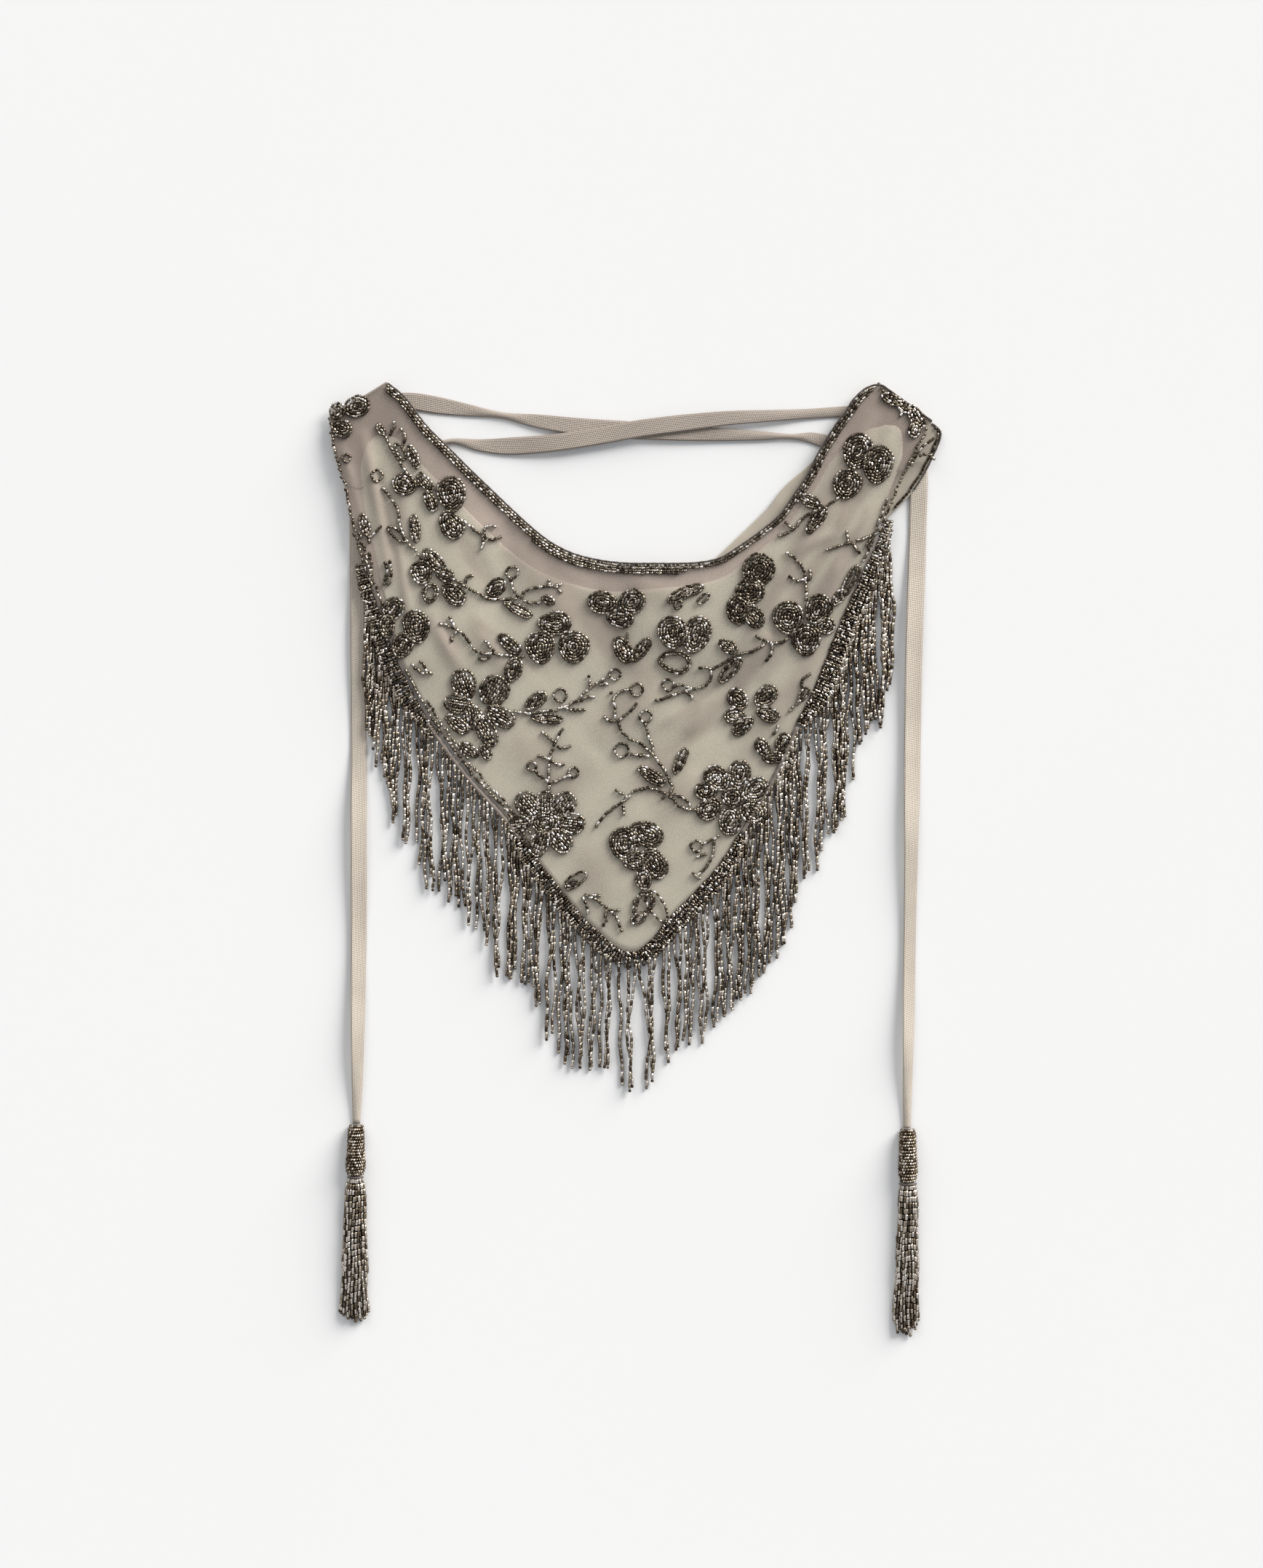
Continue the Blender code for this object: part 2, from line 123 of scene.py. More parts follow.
# How beads lie on the net, and how petals are filled
CLOTH_SAMPLE = 1.2
BEAD_REST = 0.6
PETAL_STEP = 1.42
PETAL_INSET = 0.15
PETAL_TAPER = 0.16
RING_RISE, ROW_RISE, FILL_RISE = (0.1, 0.3), 0.25, -0.4
FILL_AREA = 4.5
RING_PITCH = 1.9

# One row for each section of the front, from the left fold to the right fold, between neckline and hem
Section = namedtuple("Section", "neck_x neck_y hem_x hem_y")
FRONT = rows_of(
    Section,
    (-129, 186, -160, 167),
    (-120, 178.5, -157, 150),
    (-109, 164, -152, 133),
    (-98, 153, -147.5, 112),
    (-87, 142, -142, 92),
    (-75, 130.5, -134, 67.5),
    (-64, 120, -124.5, 41.5),
    (-53, 110, -109.5, 12.5),
    (-43, 102.5, -88.5, -17),
    (-31.5, 97, -65.5, -43),
    (-19.5, 94, -45, -71),
    (-9, 92.5, -22, -98),
    (0, 92, -0.5, -111),
    (10.5, 92, 20, -91),
    (21.5, 92, 42.5, -67.5),
    (33, 92.5, 58, -43),
    (44.5, 95, 72, -19),
    (55, 101.5, 83, 5),
    (65.5, 109, 94, 27.5),
    (75.5, 117.5, 105.5, 56),
    (82.5, 127.5, 116.5, 81),
    (89, 137, 125.5, 100),
    (96, 150.5, 131, 116),
    (103, 162, 136.5, 130),
    (111, 172.5, 143.5, 144),
    (126, 186, 154.5, 165.5),
)
LEFT_END = rows_of(
    Section,
    FRONT[0],
    (-124.5, 162.5, -148.5, 148),
    (-120.5, 134, -137, 124.5),
    (-115, 103.5, -126.5, 99),
    (-110, 76, -119, 73.5),
)
RIGHT_END = rows_of(
    Section,
    FRONT[-1],
    (116, 172.5, 159.5, 160),
    (103.5, 158, 155.5, 148.5),
    (91, 144, 148, 134.5),
    (78.5, 133, 138, 122),
    (68.5, 120.5, 120.5, 107.5),
    (53, 105.5, 94, 86.5),
    (39, 92, 67.5, 71.5),
    (28.5, 81, 35.5, 73.5),
)
LAST_STATION = len(FRONT) - 1
TIP_STATION = 12

# What the folded ends raise: everything within reach of a line, falling to the table over the slope
RaisedLine = namedtuple("RaisedLine", "top_x top_y tip_x tip_y")
RAISED_LINES = rows_of(RaisedLine, (-142, 170, -122, 80), (142, 165, 40, 84))
RAISED_REACH = 34.0
RAISED_SLOPE = 28.0

# The folds, near which the cloth is pressed flatter, by a share of what it is raised
FOLD_LINES = (FRONT[0], FRONT[-1])
FOLD_PRESS = 0.38
FOLD_PRESS_REACH = 16.0

# The lining's edges, as shares of the way from neckline to hem
LiningEdge = namedtuple("LiningEdge", "station inner outer")
LINING = rows_of(
    LiningEdge,
    (1.35, 0.34, 0.70),
    (2.0, 0.28, 0.82),
    (3.0, 0.24, 0.88),
    (4.0, 0.21, 0.90),
    (6.0, 0.165, 0.97),
    (9.0, 0.10, 1.0),
    (12.0, 0.06, 1.0),
    (16.0, 0.08, 1.0),
    (18.0, 0.085, 1.0),
    (20.0, 0.11, 0.98),
    (22.0, 0.15, 0.95),
    (23.0, 0.22, 0.93),
    (24.0, 0.34, 0.90),
    (24.45, 0.44, 0.84),
)
HEM_FACING_END = 5.0

# Lengths in stations, or shares of the way to the hem
LINING_ROUND = 0.55
CORNER_UNDERLAP = 0.6
CORNER_EASE = 1.4
FACING_UNDERLAP = 0.03
FACING_START = 0.012

# The lining's edge where it shows: how far it is sunk, and how far it blends into the facing's colour
SOFT_EDGE_LEFT, SOFT_EDGE_RIGHT = 4.5, 22.0
EDGE_BLEND = 2.8
EDGE_SHARE = 0.85
EDGE_DIP = 0.3
EDGE_DIP_REACH = 2.2

# How far the neckline's facing is shaded towards its corners' darker colour. Its middle, with none of it, is
# painted lighter against the shadow the neck beads cast there
FacingShade = namedtuple("FacingShade", "station share")
FACING_SHADES = rows_of(
    FacingShade,
    (0.0, 1.0),
    (1.0, 1.0),
    (3.0, 0.28),
    (5.0, 0.2),
    (7.0, 0.0),
    (16.0, 0.0),
    (19.0, 0.2),
    (22.5, 0.25),
    (24.5, 0.95),
)
HEM_FACING_SHADE = 0.5

# The rounded right end of the neckline, as shares of the way to the hem
NeckRound = namedtuple("NeckRound", "station share")
NECK_ROUND = rows_of(
    NeckRound,
    (0.0, 0.0),
    (23.9, 0.0),
    (24.3, -0.045),
    (24.6, -0.058),
    (24.85, -0.02),
    (25.0, 0.035),
)

# How far the bead wrap reaches out from the hem. Where it is thin, it is left out
HemWrap = namedtuple("HemWrap", "station width")
HEM_WRAP = rows_of(
    HemWrap,
    (4.0, 4.0),
    (5.0, 7.0),
    (6.5, 9.0),
    (7.5, 3.5),
    (9.0, 3.5),
    (9.5, 7.0),
    (12.0, 7.5),
    (13.0, 8.5),
    (14.0, 8.0),
    (15.0, 3.5),
    (17.0, 3.5),
    (18.0, 10.0),
    (20.0, 8.5),
    (22.0, 4.0),
)
WRAP_START = 4.0
WRAP_STEP = 1.5
WRAP_HEIGHT = 1.4
WRAP_HEAP = 1.0
WRAP_LEAN = 0.3
WRAP_TILT = 0.35
THIN_WRAP = 4.5

# Rows of beads along the neckline and the hem, from station to station, and the hem's rolled stretches
EdgeLine = namedtuple("EdgeLine", "first last inset")
NECK_ROWS = rows_of(
    EdgeLine,
    (0.0, 24.95, 1.0),
    (0.1, 24.9, 2.35),
    (0.2, 14.6, 3.65),
    (7.2, 14.2, 4.9),
    (19.8, 24.7, 3.65),
)
EDGE_LINES = rows_of(
    EdgeLine,
    (0.1, 4.6, 0.7),
    (3.2, 5.2, 2.6),
    (6.2, 9.6, 2.6),
    (6.8, 9.4, 5.0),
    (21.5, 24.9, 0.8),
    (20.5, 22.6, 3.0),
)
WING_INSET = 0.03
BareHem = namedtuple("BareHem", "first last")
BARE_HEMS = rows_of(BareHem, (7.1, 9.3), (14.8, 17.2))

# Steps in stations along the edges
LINE_STEP = 0.1
HEM_STEP = 0.02

# Rolled edges
ROLL_STEP = 1.5
ROLL_LUMPS = 0.16
NECK_ROLL_RADIUS = 0.45
WING_ROLL_RADIUS = 0.5
FOLD_EDGE = (0.55, 0.8)
HEM_ROLL_RADIUS = 1.25
HEM_ROLL_OUT = 0.9
HEM_ROLL_HEIGHT = 2.1

# The ties, from under the folded end to the tassel, each pinched together where it is narrow
TieStop = namedtuple("TieStop", "x y bottom width")
TIE_TO_LEFT = rows_of(
    TieStop,
    (34, 79, 0, 8.5),
    (48.5, 88, 0, 9),
    (67.5, 99, 0, 9),
    (90, 114, 0, 9),
    (105.5, 126, 0, 9),
    (111.5, 140, 0, 9),
    (106.5, 152, 0, 8),
    (94, 157.5, 0, 6),
    (81, 158.5, 0, 2.6),
    (63.5, 159, 0, 4.8),
    (33, 160, 0, 7.5),
    (2.5, 161.5, 0, 9),
    (-27.5, 163.5, 0, 9),
    (-50.5, 166.5, 0, 7),
    (-69.5, 169.5, 0, 3.2),
    (-88.5, 172.5, 0, 6.5),
    (-104, 175, 0, 9),
    (-118, 177, 0, 9),
    (-130, 175.5, 0, 9),
    (-139, 169.5, 0, 9),
    (-143.5, 159.5, 0, 8.4),
    (-145, 143.5, 0, 8.2),
    (-145, 105.5, 0, 8.2),
    (-144.5, 44.5, 0, 8.0),
    (-144.2, -31.5, 0, 8.2),
    (-144.2, -88.5, 0, 8.2),
    (-144.8, -164.5, 0, 6.4),
    (-145.5, -200.2, 0, 3.6),
)
TIE_TO_RIGHT = rows_of(
    TieStop,
    (-114.5, 78, 0, 8.5),
    (-114.5, 98, 0, 9),
    (-114.8, 120.5, 0, 9),
    (-114, 138, 0, 8),
    (-108.5, 150, 0, 5),
    (-97, 156, 0, 2.4),
    (-81, 154, 0, 6.2),
    (-65.5, 153.5, 0.2, 9),
    (-43, 155, 1.3, 9),
    (-20, 158.5, 1.3, 9),
    (2.5, 162.5, 1.3, 9),
    (25.5, 165.5, 1.3, 8.6),
    (48.5, 168, 1.3, 7.4),
    (71, 169.3, 1.2, 6),
    (90, 170.4, 0.2, 5),
    (109, 171.5, 0, 5.6),
    (126, 170.8, 0, 8.4),
    (138.7, 166, 0, 9),
    (145.5, 156.5, 0, 9),
    (148, 143.5, 0, 9.1),
    (147.5, 113, 0, 9.1),
    (146.5, 79, 0, 9.1),
    (145.3, 44.5, 0, 9.0),
    (144.4, -24, 0, 8.4),
    (143.6, -81, 0, 6.6),
    (142.6, -145.5, 0, 6.0),
    (142, -183.5, 0, 4.6),
    (141.9, -202.4, 0, 3.6),
)
RIBBON_WIDTH = 9.0
RIBBON_COLUMNS = 9
RIBBON_LIFT = 0.35
RIBBON_SWAY = 0.3
RIBBON_WAVE = 1.6
RIBBON_ARCH = 1.3
PINCH_WIDTH = 8.2
PINCH_EASE = 5.5

# Where a ribbon lies beside the cloth and behind the neck opening, and where its left edge curls
BESIDE_X = 134
BEHIND_Y = 150
RIBBON_CURL = 2.3
CURL_TOP_LEFT = 0
CURL_TOP_RIGHT = 110
CURL_BOTTOM = -200

# The tassels, each row a section across: centre, half width and height above the table
TasselSection = namedtuple("TasselSection", "x y half_width height")
LEFT_HEAD = rows_of(
    TasselSection,
    (-145.5, -200.5, 2.6, 4.5),
    (-145.6, -202.5, 4.0, 6.6),
    (-145.8, -214.0, 4.6, 7.6),
    (-145.9, -221.5, 5.2, 8.2),
    (-146.0, -225.0, 4.6, 7.4),
    (-146.0, -227.7, 3.4, 6.2),
)
LEFT_SKIRT = rows_of(
    TasselSection,
    (-146.0, -228.0, 3.6, 6.2),
    (-146.0, -235.0, 5.8, 7.0),
    (-146.2, -260.0, 6.8, 6.8),
    (-146.4, -285.0, 7.6, 6.0),
    (-146.6, -298.0, 8.6, 4.6),
    (-146.0, -303.5, 5.0, 3.2),
)
RIGHT_HEAD = rows_of(
    TasselSection,
    (142.0, -202.7, 2.6, 4.5),
    (142.2, -205.0, 4.2, 6.8),
    (142.3, -216.0, 4.6, 7.6),
    (142.4, -225.0, 5.0, 7.8),
    (142.4, -229.0, 4.2, 7.0),
    (142.4, -231.2, 3.8, 6.2),
)
RIGHT_SKIRT = rows_of(
    TasselSection,
    (142.4, -231.5, 4.0, 6.4),
    (142.5, -238.0, 5.5, 7.0),
    (142.2, -262.0, 6.0, 6.8),
    (141.7, -285.0, 6.8, 6.2),
    (141.4, -303.0, 7.2, 4.8),
    (142.0, -312.5, 4.2, 3.2),
)
HEAD_ROW_STEP = 1.55
HEAD_BEADS_AROUND = 11
HEAD_BEAD_RADIUS = 0.82
HEAD_BEAD_REACH = 0.75
HEAD_TONE, SKIRT_TONE = 1.15, 1.5
TASSEL_ROWS = 60
SKIRT_ROWS, SKIRT_MORE_ROWS = 47, 12
SKIRT_WIGGLE = 0.35
BINDING_RADIUS = 0.6
SKIRT_RADIUS = 0.74
SkirtLayer = namedtuple("SkirtLayer", "out strands")
SKIRT_LAYERS = rows_of(SkirtLayer, (0.95, 10), (0.6, 7), (0.2, 5))

# Soft creases: a ridge where the height is positive, and a trough where it is negative
Crease = namedtuple("Crease", "px_from_x px_from_y px_to_x px_to_y reach height")
CREASES = rows_of(
    Crease,
    (500, 590, 538, 800, 3.5, 0.9),
    (519, 640, 550, 800, 2.4, -0.5),
    (536, 690, 566, 860, 2.6, 0.6),
    (552, 560, 556, 760, 4.0, 0.5),
    (588, 836, 640, 935, 4.0, 0.7),
    (606, 846, 630, 905, 2.5, -0.5),
    (630, 740, 692, 832, 5.0, -0.6),
    (648, 846, 704, 935, 5.0, 0.6),
    (700, 742, 792, 852, 8.0, 0.7),
    (742, 776, 852, 904, 8.0, -0.6),
    (806, 846, 872, 908, 6.0, -0.7),
    (826, 878, 908, 934, 6.0, 0.7),
    (905, 930, 816, 1015, 9.0, 0.5),
    (858, 788, 934, 830, 7.0, 0.5),
    (1204, 566, 1088, 762, 4.0, 0.9),
    (1216, 588, 1140, 735, 3.0, -0.6),
    (1187, 628, 1008, 904, 3.0, 1.0),
    (1197, 660, 1040, 900, 3.0, -0.7),
    (1212, 688, 1046, 936, 3.5, 0.9),
    (1152, 732, 1072, 768, 3.0, 0.5),
    (1058, 870, 1010, 945, 3.6, 1.0),
    (1010, 945, 940, 1012, 4.0, 0.8),
    (1072, 866, 1000, 968, 3.0, -0.6),
    (1142, 868, 1080, 962, 5.0, 0.5),
    (1102, 928, 1010, 1052, 6.0, 0.5),
    (1164, 756, 1108, 905, 4.0, 0.7),
    (700, 1008, 794, 1082, 9.0, 0.4),
    (820, 1038, 758, 1104, 8.0, 0.4),
    (932, 998, 878, 1104, 9.0, -0.4),
    (888, 1006, 990, 958, 1.6, 0.45),
    (905, 1040, 1000, 985, 2.2, -0.4),
    (640, 850, 760, 935, 2.0, -0.4),
    (700, 700, 800, 800, 6.0, 0.5),
    (1020, 905, 930, 990, 2.0, -0.5),
    (1190, 700, 1150, 780, 2.4, -0.4),
    (1225, 600, 1180, 690, 2.6, 0.6),
    (800, 1150, 840, 1240, 8.0, 0.35),
    (960, 1060, 905, 1130, 7.0, 0.4),
    (470, 610, 500, 720, 2.4, 0.5),
)
CREASE_TABLE = np.array([(*px(*crease[:2]), *px(*crease[2:4]), *crease[4:]) for crease in CREASES])
CREASE_REST = 0.8
CREASE_DEPTH = 1.9

# Petals and leaves, ovals of beads laid ring within ring, as many rings as fit where none are given.
# Angles are in degrees, anticlockwise from +X
FILLED = 9
ROWED = 8
Petal = namedtuple("Petal", "px_x px_y length width angle rings", defaults=(FILLED,))
FLOWERS = rows_of(
    Petal,
    (491, 560, 13.5, 10.5, 20),
    (464, 566, 9.0, 7.5, 60),
    (470, 590, 11.0, 9.0, -10),
    (557, 667, 12.5, 11.0, 160),
    (585, 664, 12.5, 5.5, -50),
    (592, 690, 12.0, 5.5, -65),
    (621, 680, 18.0, 14.5, 100),
    (621, 722, 16.0, 11.5, -60),
    (580, 788, 12.5, 10.5, 100),
    (592, 816, 10.5, 8.5, 80, 2),
    (597, 771, 15.5, 7.5, -50),
    (612, 791, 9.5, 6.5, -20),
    (624, 817, 14.5, 9.5, -40),
    (541, 838, 13.0, 10.0, 60),
    (573, 862, 17.5, 13.5, 100),
    (554, 888, 13.5, 10.5, 70),
    (533, 862, 12.0, 7.5, 90),
    (829, 829, 16.0, 11.5, 165),
    (868, 828, 14.0, 12.5, 30),
    (852, 851, 14.0, 8.5, -10),
    (762, 857, 17.0, 12.0, 0),
    (743, 890, 17.0, 15.0, 100),
    (789, 890, 16.5, 15.5, 80),
    (638, 941, 16.0, 12.5, 110, ROWED),
    (631, 968, 15.0, 9.5, 170, ROWED),
    (679, 950, 16.5, 15.0, 60, ROWED),
    (688, 985, 16.5, 9.5, -30, ROWED),
    (668, 1004, 18.5, 9.0, -60, ROWED),
    (650, 985, 13.0, 9.5, -80, ROWED),
    (924, 870, 17.0, 14.5, 100),
    (957, 873, 20.0, 13.5, 70),
    (927, 910, 17.5, 11.5, -10, 2),
    (1041, 786, 18.5, 16.0, 60),
    (1030, 813, 14.5, 13.0, 0),
    (1017, 838, 16.0, 14.0, 70),
    (1036, 848, 13.0, 9.0, -60),
    (1083, 850, 17.0, 15.5, 100),
    (1124, 838, 15.5, 13.5, 60),
    (1133, 861, 10.5, 8.5, 0),
    (1107, 880, 16.5, 14.5, 90),
    (1178, 622, 18.5, 15.0, 70),
    (1206, 640, 20.0, 15.0, 80),
    (1163, 667, 15.5, 14.5, 60),
    (1224, 550, 12.0, 5.5, -25),
    (1258, 574, 14.0, 7.0, -60),
    (1241, 560, 9.0, 5.0, -35),
    (1256, 592, 8.5, 6.0, -100),
    (1014, 961, 12.0, 9.5, 130),
    (1052, 957, 13.5, 9.5, 40),
    (1010, 984, 11.5, 7.5, 180),
    (1055, 982, 12.5, 7.5, -20),
    (1021, 998, 13.5, 7.0, -140),
    (1047, 1026, 10.0, 7.0, -60),
    (1076, 1022, 11.5, 7.5, 70),
    (1062, 1041, 11.5, 6.0, 0),
    (985, 1070, 14.5, 11.5, 130),
    (1016, 1064, 14.5, 11.0, 80),
    (1038, 1085, 14.5, 11.5, 30),
    (1034, 1116, 14.5, 11.5, -30),
    (1003, 1128, 14.5, 11.0, -90),
    (975, 1112, 13.5, 10.5, -150),
    (970, 1088, 11.5, 8.5, 170),
    (1006, 1096, 11.0, 10.0, 0),
    (726, 1106, 15.0, 11.5, 130, ROWED),
    (750, 1103, 12.0, 9.5, 90, ROWED),
    (774, 1107, 15.0, 11.5, 50, ROWED),
    (785, 1131, 14.5, 10.5, -10, ROWED),
    (770, 1155, 14.5, 10.5, -50, ROWED),
    (741, 1159, 14.0, 9.5, -110, ROWED),
    (713, 1132, 12.0, 9.0, -170, ROWED),
    (748, 1131, 13.5, 11.0, 0),
    (888, 1146, 18.0, 12.5, -20),
    (858, 1160, 17.5, 14.5, 100),
    (899, 1186, 17.5, 12.0, -60),
    (884, 1208, 11.0, 8.0, -90),
    (872, 1182, 13.0, 9.5, 0),
)
LEAVES = rows_of(
    Petal,
    (524, 592, 8.0, 3.6, -60, 2),
    (569, 629, 14.0, 4.6, -70, 2),
    (551, 622, 11.0, 4.0, -60, 2),
    (571, 727, 15.5, 5.0, -85),
    (546, 735, 13.0, 4.2, -40, 2),
    (502, 722, 12.0, 5.0, -75, 2),
    (682, 808, 11.5, 8.0, 40),
    (712, 838, 17.0, 4.6, -28),
    (753, 825, 7.5, 4.2, -20),
    (700, 885, 15.0, 6.5, -40),
    (706, 921, 13.0, 8.5, 70),
    (737, 963, 13.0, 7.0, 35),
    (752, 988, 17.0, 4.6, -4),
    (628, 995, 14.5, 6.5, -40),
    (645, 1030, 12.0, 5.0, -35, 2),
    (668, 1034, 9.5, 4.6, -60, 2),
    (856, 893, 15.0, 8.0, -62),
    (881, 894, 15.0, 6.0, 52),
    (935, 818, 16.0, 5.6, 28),
    (950, 812, 14.0, 5.0, 18),
    (966, 824, 9.0, 3.6, 40, 2),
    (932, 832, 6.0, 3.6, 60, 2),
    (1113, 690, 12.5, 6.0, -28),
    (1121, 716, 17.0, 6.5, 55),
    (1000, 889, 11.0, 6.0, -30),
    (1003, 922, 17.0, 6.0, 48, 2),
    (1168, 800, 19.0, 5.6, 62, 2),
    (1152, 822, 10.0, 5.0, 58, 2),
    (895, 1066, 17.0, 6.0, -32),
    (935, 1046, 15.5, 4.8, 66),
    (792, 1208, 13.0, 5.5, 28, 1),
    (786, 1216, 9.0, 4.0, 20),
    (884, 1243, 15.0, 10.0, 60, 2),
    (903, 1246, 19.0, 8.0, 120, 1),
    (877, 1262, 9.0, 5.5, 30),
    (1104, 955, 9.0, 4.2, 60, 2),
)

# Flowers that are darker or lighter than the rest
FlowerTone = namedtuple("FlowerTone", "px_x px_y reach tone")
FLOWER_TONES = rows_of(
    FlowerTone,
    (1030, 815, 52, 0.76),
    (1003, 1100, 62, 1.14),
    (750, 1130, 58, 1.16),
    (656, 968, 58, 1.05),
)

# Rings of beads
Ring = namedtuple("Ring", "px_x px_y radius")
RINGS = rows_of(
    Ring,
    (519, 655, 3.0),
    (477, 631, 2.2),
    (704, 787, 3.2),
    (845, 927, 3.0),
    (770, 956, 3.4),
    (875, 948, 3.4),
    (887, 985, 3.2),
    (854, 1031, 3.8),
    (731, 1053, 2.6),
    (788, 1062, 2.8),
    (918, 942, 3.0),
    (957, 1163, 3.0),
)

# Stems, each a chain of beads bent from its start past its middle point to its end
Stem = namedtuple("Stem", "px_from_x px_from_y px_mid_x px_mid_y px_to_x px_to_y")
STEMS = rows_of(
    Stem,
    (522, 586, 536, 612, 552, 640),
    (536, 600, 541, 592, 543, 580),
    (552, 616, 558, 602, 551, 590),
    (552, 640, 564, 655, 577, 670),
    (525, 670, 541, 690, 549, 708),
    (549, 708, 552, 730, 566, 752),
    (566, 752, 574, 760, 580, 770),
    (633, 714, 650, 727, 666, 738),
    (666, 738, 668, 724, 682, 724),
    (666, 738, 678, 742, 690, 738),
    (664, 736, 664, 748, 662, 756),
    (621, 795, 642, 808, 664, 820),
    (642, 803, 642, 794, 652, 792),
    (664, 820, 684, 824, 712, 822),
    (712, 822, 704, 806, 702, 795),
    (716, 824, 724, 812, 740, 808),
    (740, 808, 756, 806, 772, 803),
    (755, 806, 756, 798, 754, 796),
    (762, 806, 768, 810, 772, 814),
    (718, 826, 730, 829, 744, 828),
    (722, 903, 700, 902, 676, 898),
    (676, 898, 656, 896, 644, 880),
    (644, 880, 628, 866, 604, 857),
    (628, 866, 622, 856, 618, 848),
    (630, 868, 622, 876, 621, 884),
    (666, 880, 672, 886, 680, 896),
    (658, 906, 666, 907, 674, 902),
    (706, 977, 724, 980, 742, 978),
    (742, 978, 770, 974, 794, 963),
    (794, 963, 814, 944, 838, 930),
    (812, 944, 810, 936, 810, 928),
    (776, 972, 788, 976, 804, 976),
    (798, 966, 806, 958, 818, 958),
    (824, 942, 830, 940, 836, 941),
    (862, 868, 862, 880, 864, 900),
    (870, 949, 850, 952, 842, 966),
    (828, 984, 842, 992, 856, 986),
    (856, 986, 868, 976, 876, 966),
    (842, 962, 846, 956, 838, 953),
    (842, 966, 846, 980, 842, 992),
    (850, 990, 856, 1008, 872, 1018),
    (872, 1018, 890, 1030, 902, 1044),
    (902, 1044, 914, 1060, 924, 1082),
    (886, 994, 892, 1012, 898, 1034),
    (866, 1037, 880, 1038, 892, 1039),
    (924, 1082, 922, 1092, 921, 1098),
    (818, 1138, 836, 1116, 860, 1100),
    (860, 1100, 880, 1084, 904, 1087),
    (904, 1087, 920, 1094, 930, 1106),
    (930, 1106, 942, 1112, 962, 1114),
    (910, 1098, 930, 1092, 950, 1108),
    (846, 1084, 856, 1092, 862, 1098),
    (856, 1106, 858, 1112, 857, 1120),
    (754, 1090, 754, 1066, 757, 1044),
    (757, 1044, 762, 1024, 774, 1002),
    (766, 1022, 754, 1014, 744, 1006),
    (766, 1026, 774, 1028, 784, 1026),
    (757, 1044, 748, 1042, 738, 1038),
    (757, 1046, 768, 1052, 776, 1050),
    (754, 1074, 742, 1066, 733, 1059),
    (756, 1076, 772, 1070, 786, 1066),
    (1088, 873, 1072, 884, 1056, 884),
    (1056, 884, 1042, 876, 1038, 873),
    (1060, 884, 1060, 898, 1052, 909),
    (1050, 888, 1030, 896, 1012, 900),
    (1012, 900, 996, 910, 978, 920),
    (978, 920, 966, 918, 960, 919),
    (978, 922, 972, 940, 952, 947),
    (952, 947, 934, 952, 918, 958),
    (952, 947, 936, 942, 926, 944),
    (918, 958, 908, 962, 899, 963),
    (940, 950, 948, 956, 952, 962),
    (1106, 826, 1108, 812, 1106, 800),
    (1106, 800, 1102, 780, 1078, 760),
    (1104, 798, 1092, 798, 1083, 792),
    (1108, 798, 1114, 794, 1112, 784),
    (1152, 684, 1140, 694, 1128, 700),
    (1128, 700, 1110, 708, 1100, 716),
    (1100, 716, 1088, 730, 1068, 738),
    (1092, 728, 1082, 722, 1078, 718),
    (1134, 757, 1150, 752, 1170, 746),
    (1170, 746, 1190, 740, 1212, 728),
    (1164, 748, 1164, 736, 1162, 730),
    (1168, 748, 1176, 754, 1180, 762),
    (1114, 926, 1102, 936, 1104, 952),
    (1104, 952, 1094, 968, 1084, 978),
    (1070, 996, 1068, 1004, 1062, 1010),
    (804, 1229, 822, 1238, 838, 1252),
    (838, 1252, 848, 1262, 854, 1280),
    (806, 1230, 818, 1230, 826, 1231),
    (800, 1232, 806, 1244, 808, 1256),
    (832, 1250, 832, 1264, 830, 1274),
    (838, 1250, 848, 1250, 854, 1250),
    (990, 1148, 976, 1154, 966, 1160),
    (958, 1180, 966, 1174, 972, 1174),
    (982, 1156, 976, 1184, 958, 1202),
    (952, 1198, 956, 1204, 964, 1208),
    (500, 722, 505, 736, 508, 748),
    (508, 740, 516, 734, 524, 722),
    (566, 912, 578, 924, 590, 926),
    (578, 908, 584, 918, 594, 928),
    (508, 760, 512, 780, 508, 800),
    (536, 770, 538, 790, 534, 806),
    (530, 772, 532, 790, 528, 806),
    (1252, 642, 1262, 620, 1284, 604),
    (1262, 628, 1272, 626, 1284, 632),
    (1228, 552, 1238, 566, 1236, 574),
    (1206, 732, 1196, 742, 1190, 752),
)

# The ragged line of the fringe's lower ends
FringeTip = namedtuple("FringeTip", "px_x px_y")
FRINGE_TIPS = rows_of(
    FringeTip,
    (495, 985),
    (508, 1001),
    (522, 1050),
    (539, 1093),
    (558, 1171),
    (572, 1153),
    (593, 1233),
    (606, 1219),
    (640, 1259),
    (649, 1280),
    (663, 1288),
    (678, 1332),
    (710, 1342),
    (737, 1360),
    (750, 1399),
    (768, 1450),
    (784, 1464),
    (798, 1461),
    (828, 1474),
    (842, 1480),
    (863, 1505),
    (875, 1492),
    (900, 1483),
    (919, 1448),
    (944, 1440),
    (967, 1423),
    (989, 1405),
    (1005, 1385),
    (1037, 1346),
    (1058, 1321),
    (1074, 1302),
    (1099, 1210),
    (1107, 1204),
    (1116, 1198),
    (1140, 1153),
    (1150, 1151),
    (1160, 1111),
    (1177, 1020),
    (1199, 1000),
    (1209, 994),
    (1216, 955),
    (1229, 912),
    (1239, 903),
)
FRINGE_START, FRINGE_END = 4.7, 22.0
SIDE_STRAND_SPACING = 3.1
TIP_STRAND_SPACING = 3.9
SPACING_SHARES = (0.6, 1.3)
BUNDLES = (2, 2, 3, 3)
BUNDLE_DRAWN = (0.55, 0.95)
TIP_RAGGED = (-1.5, 6.0)
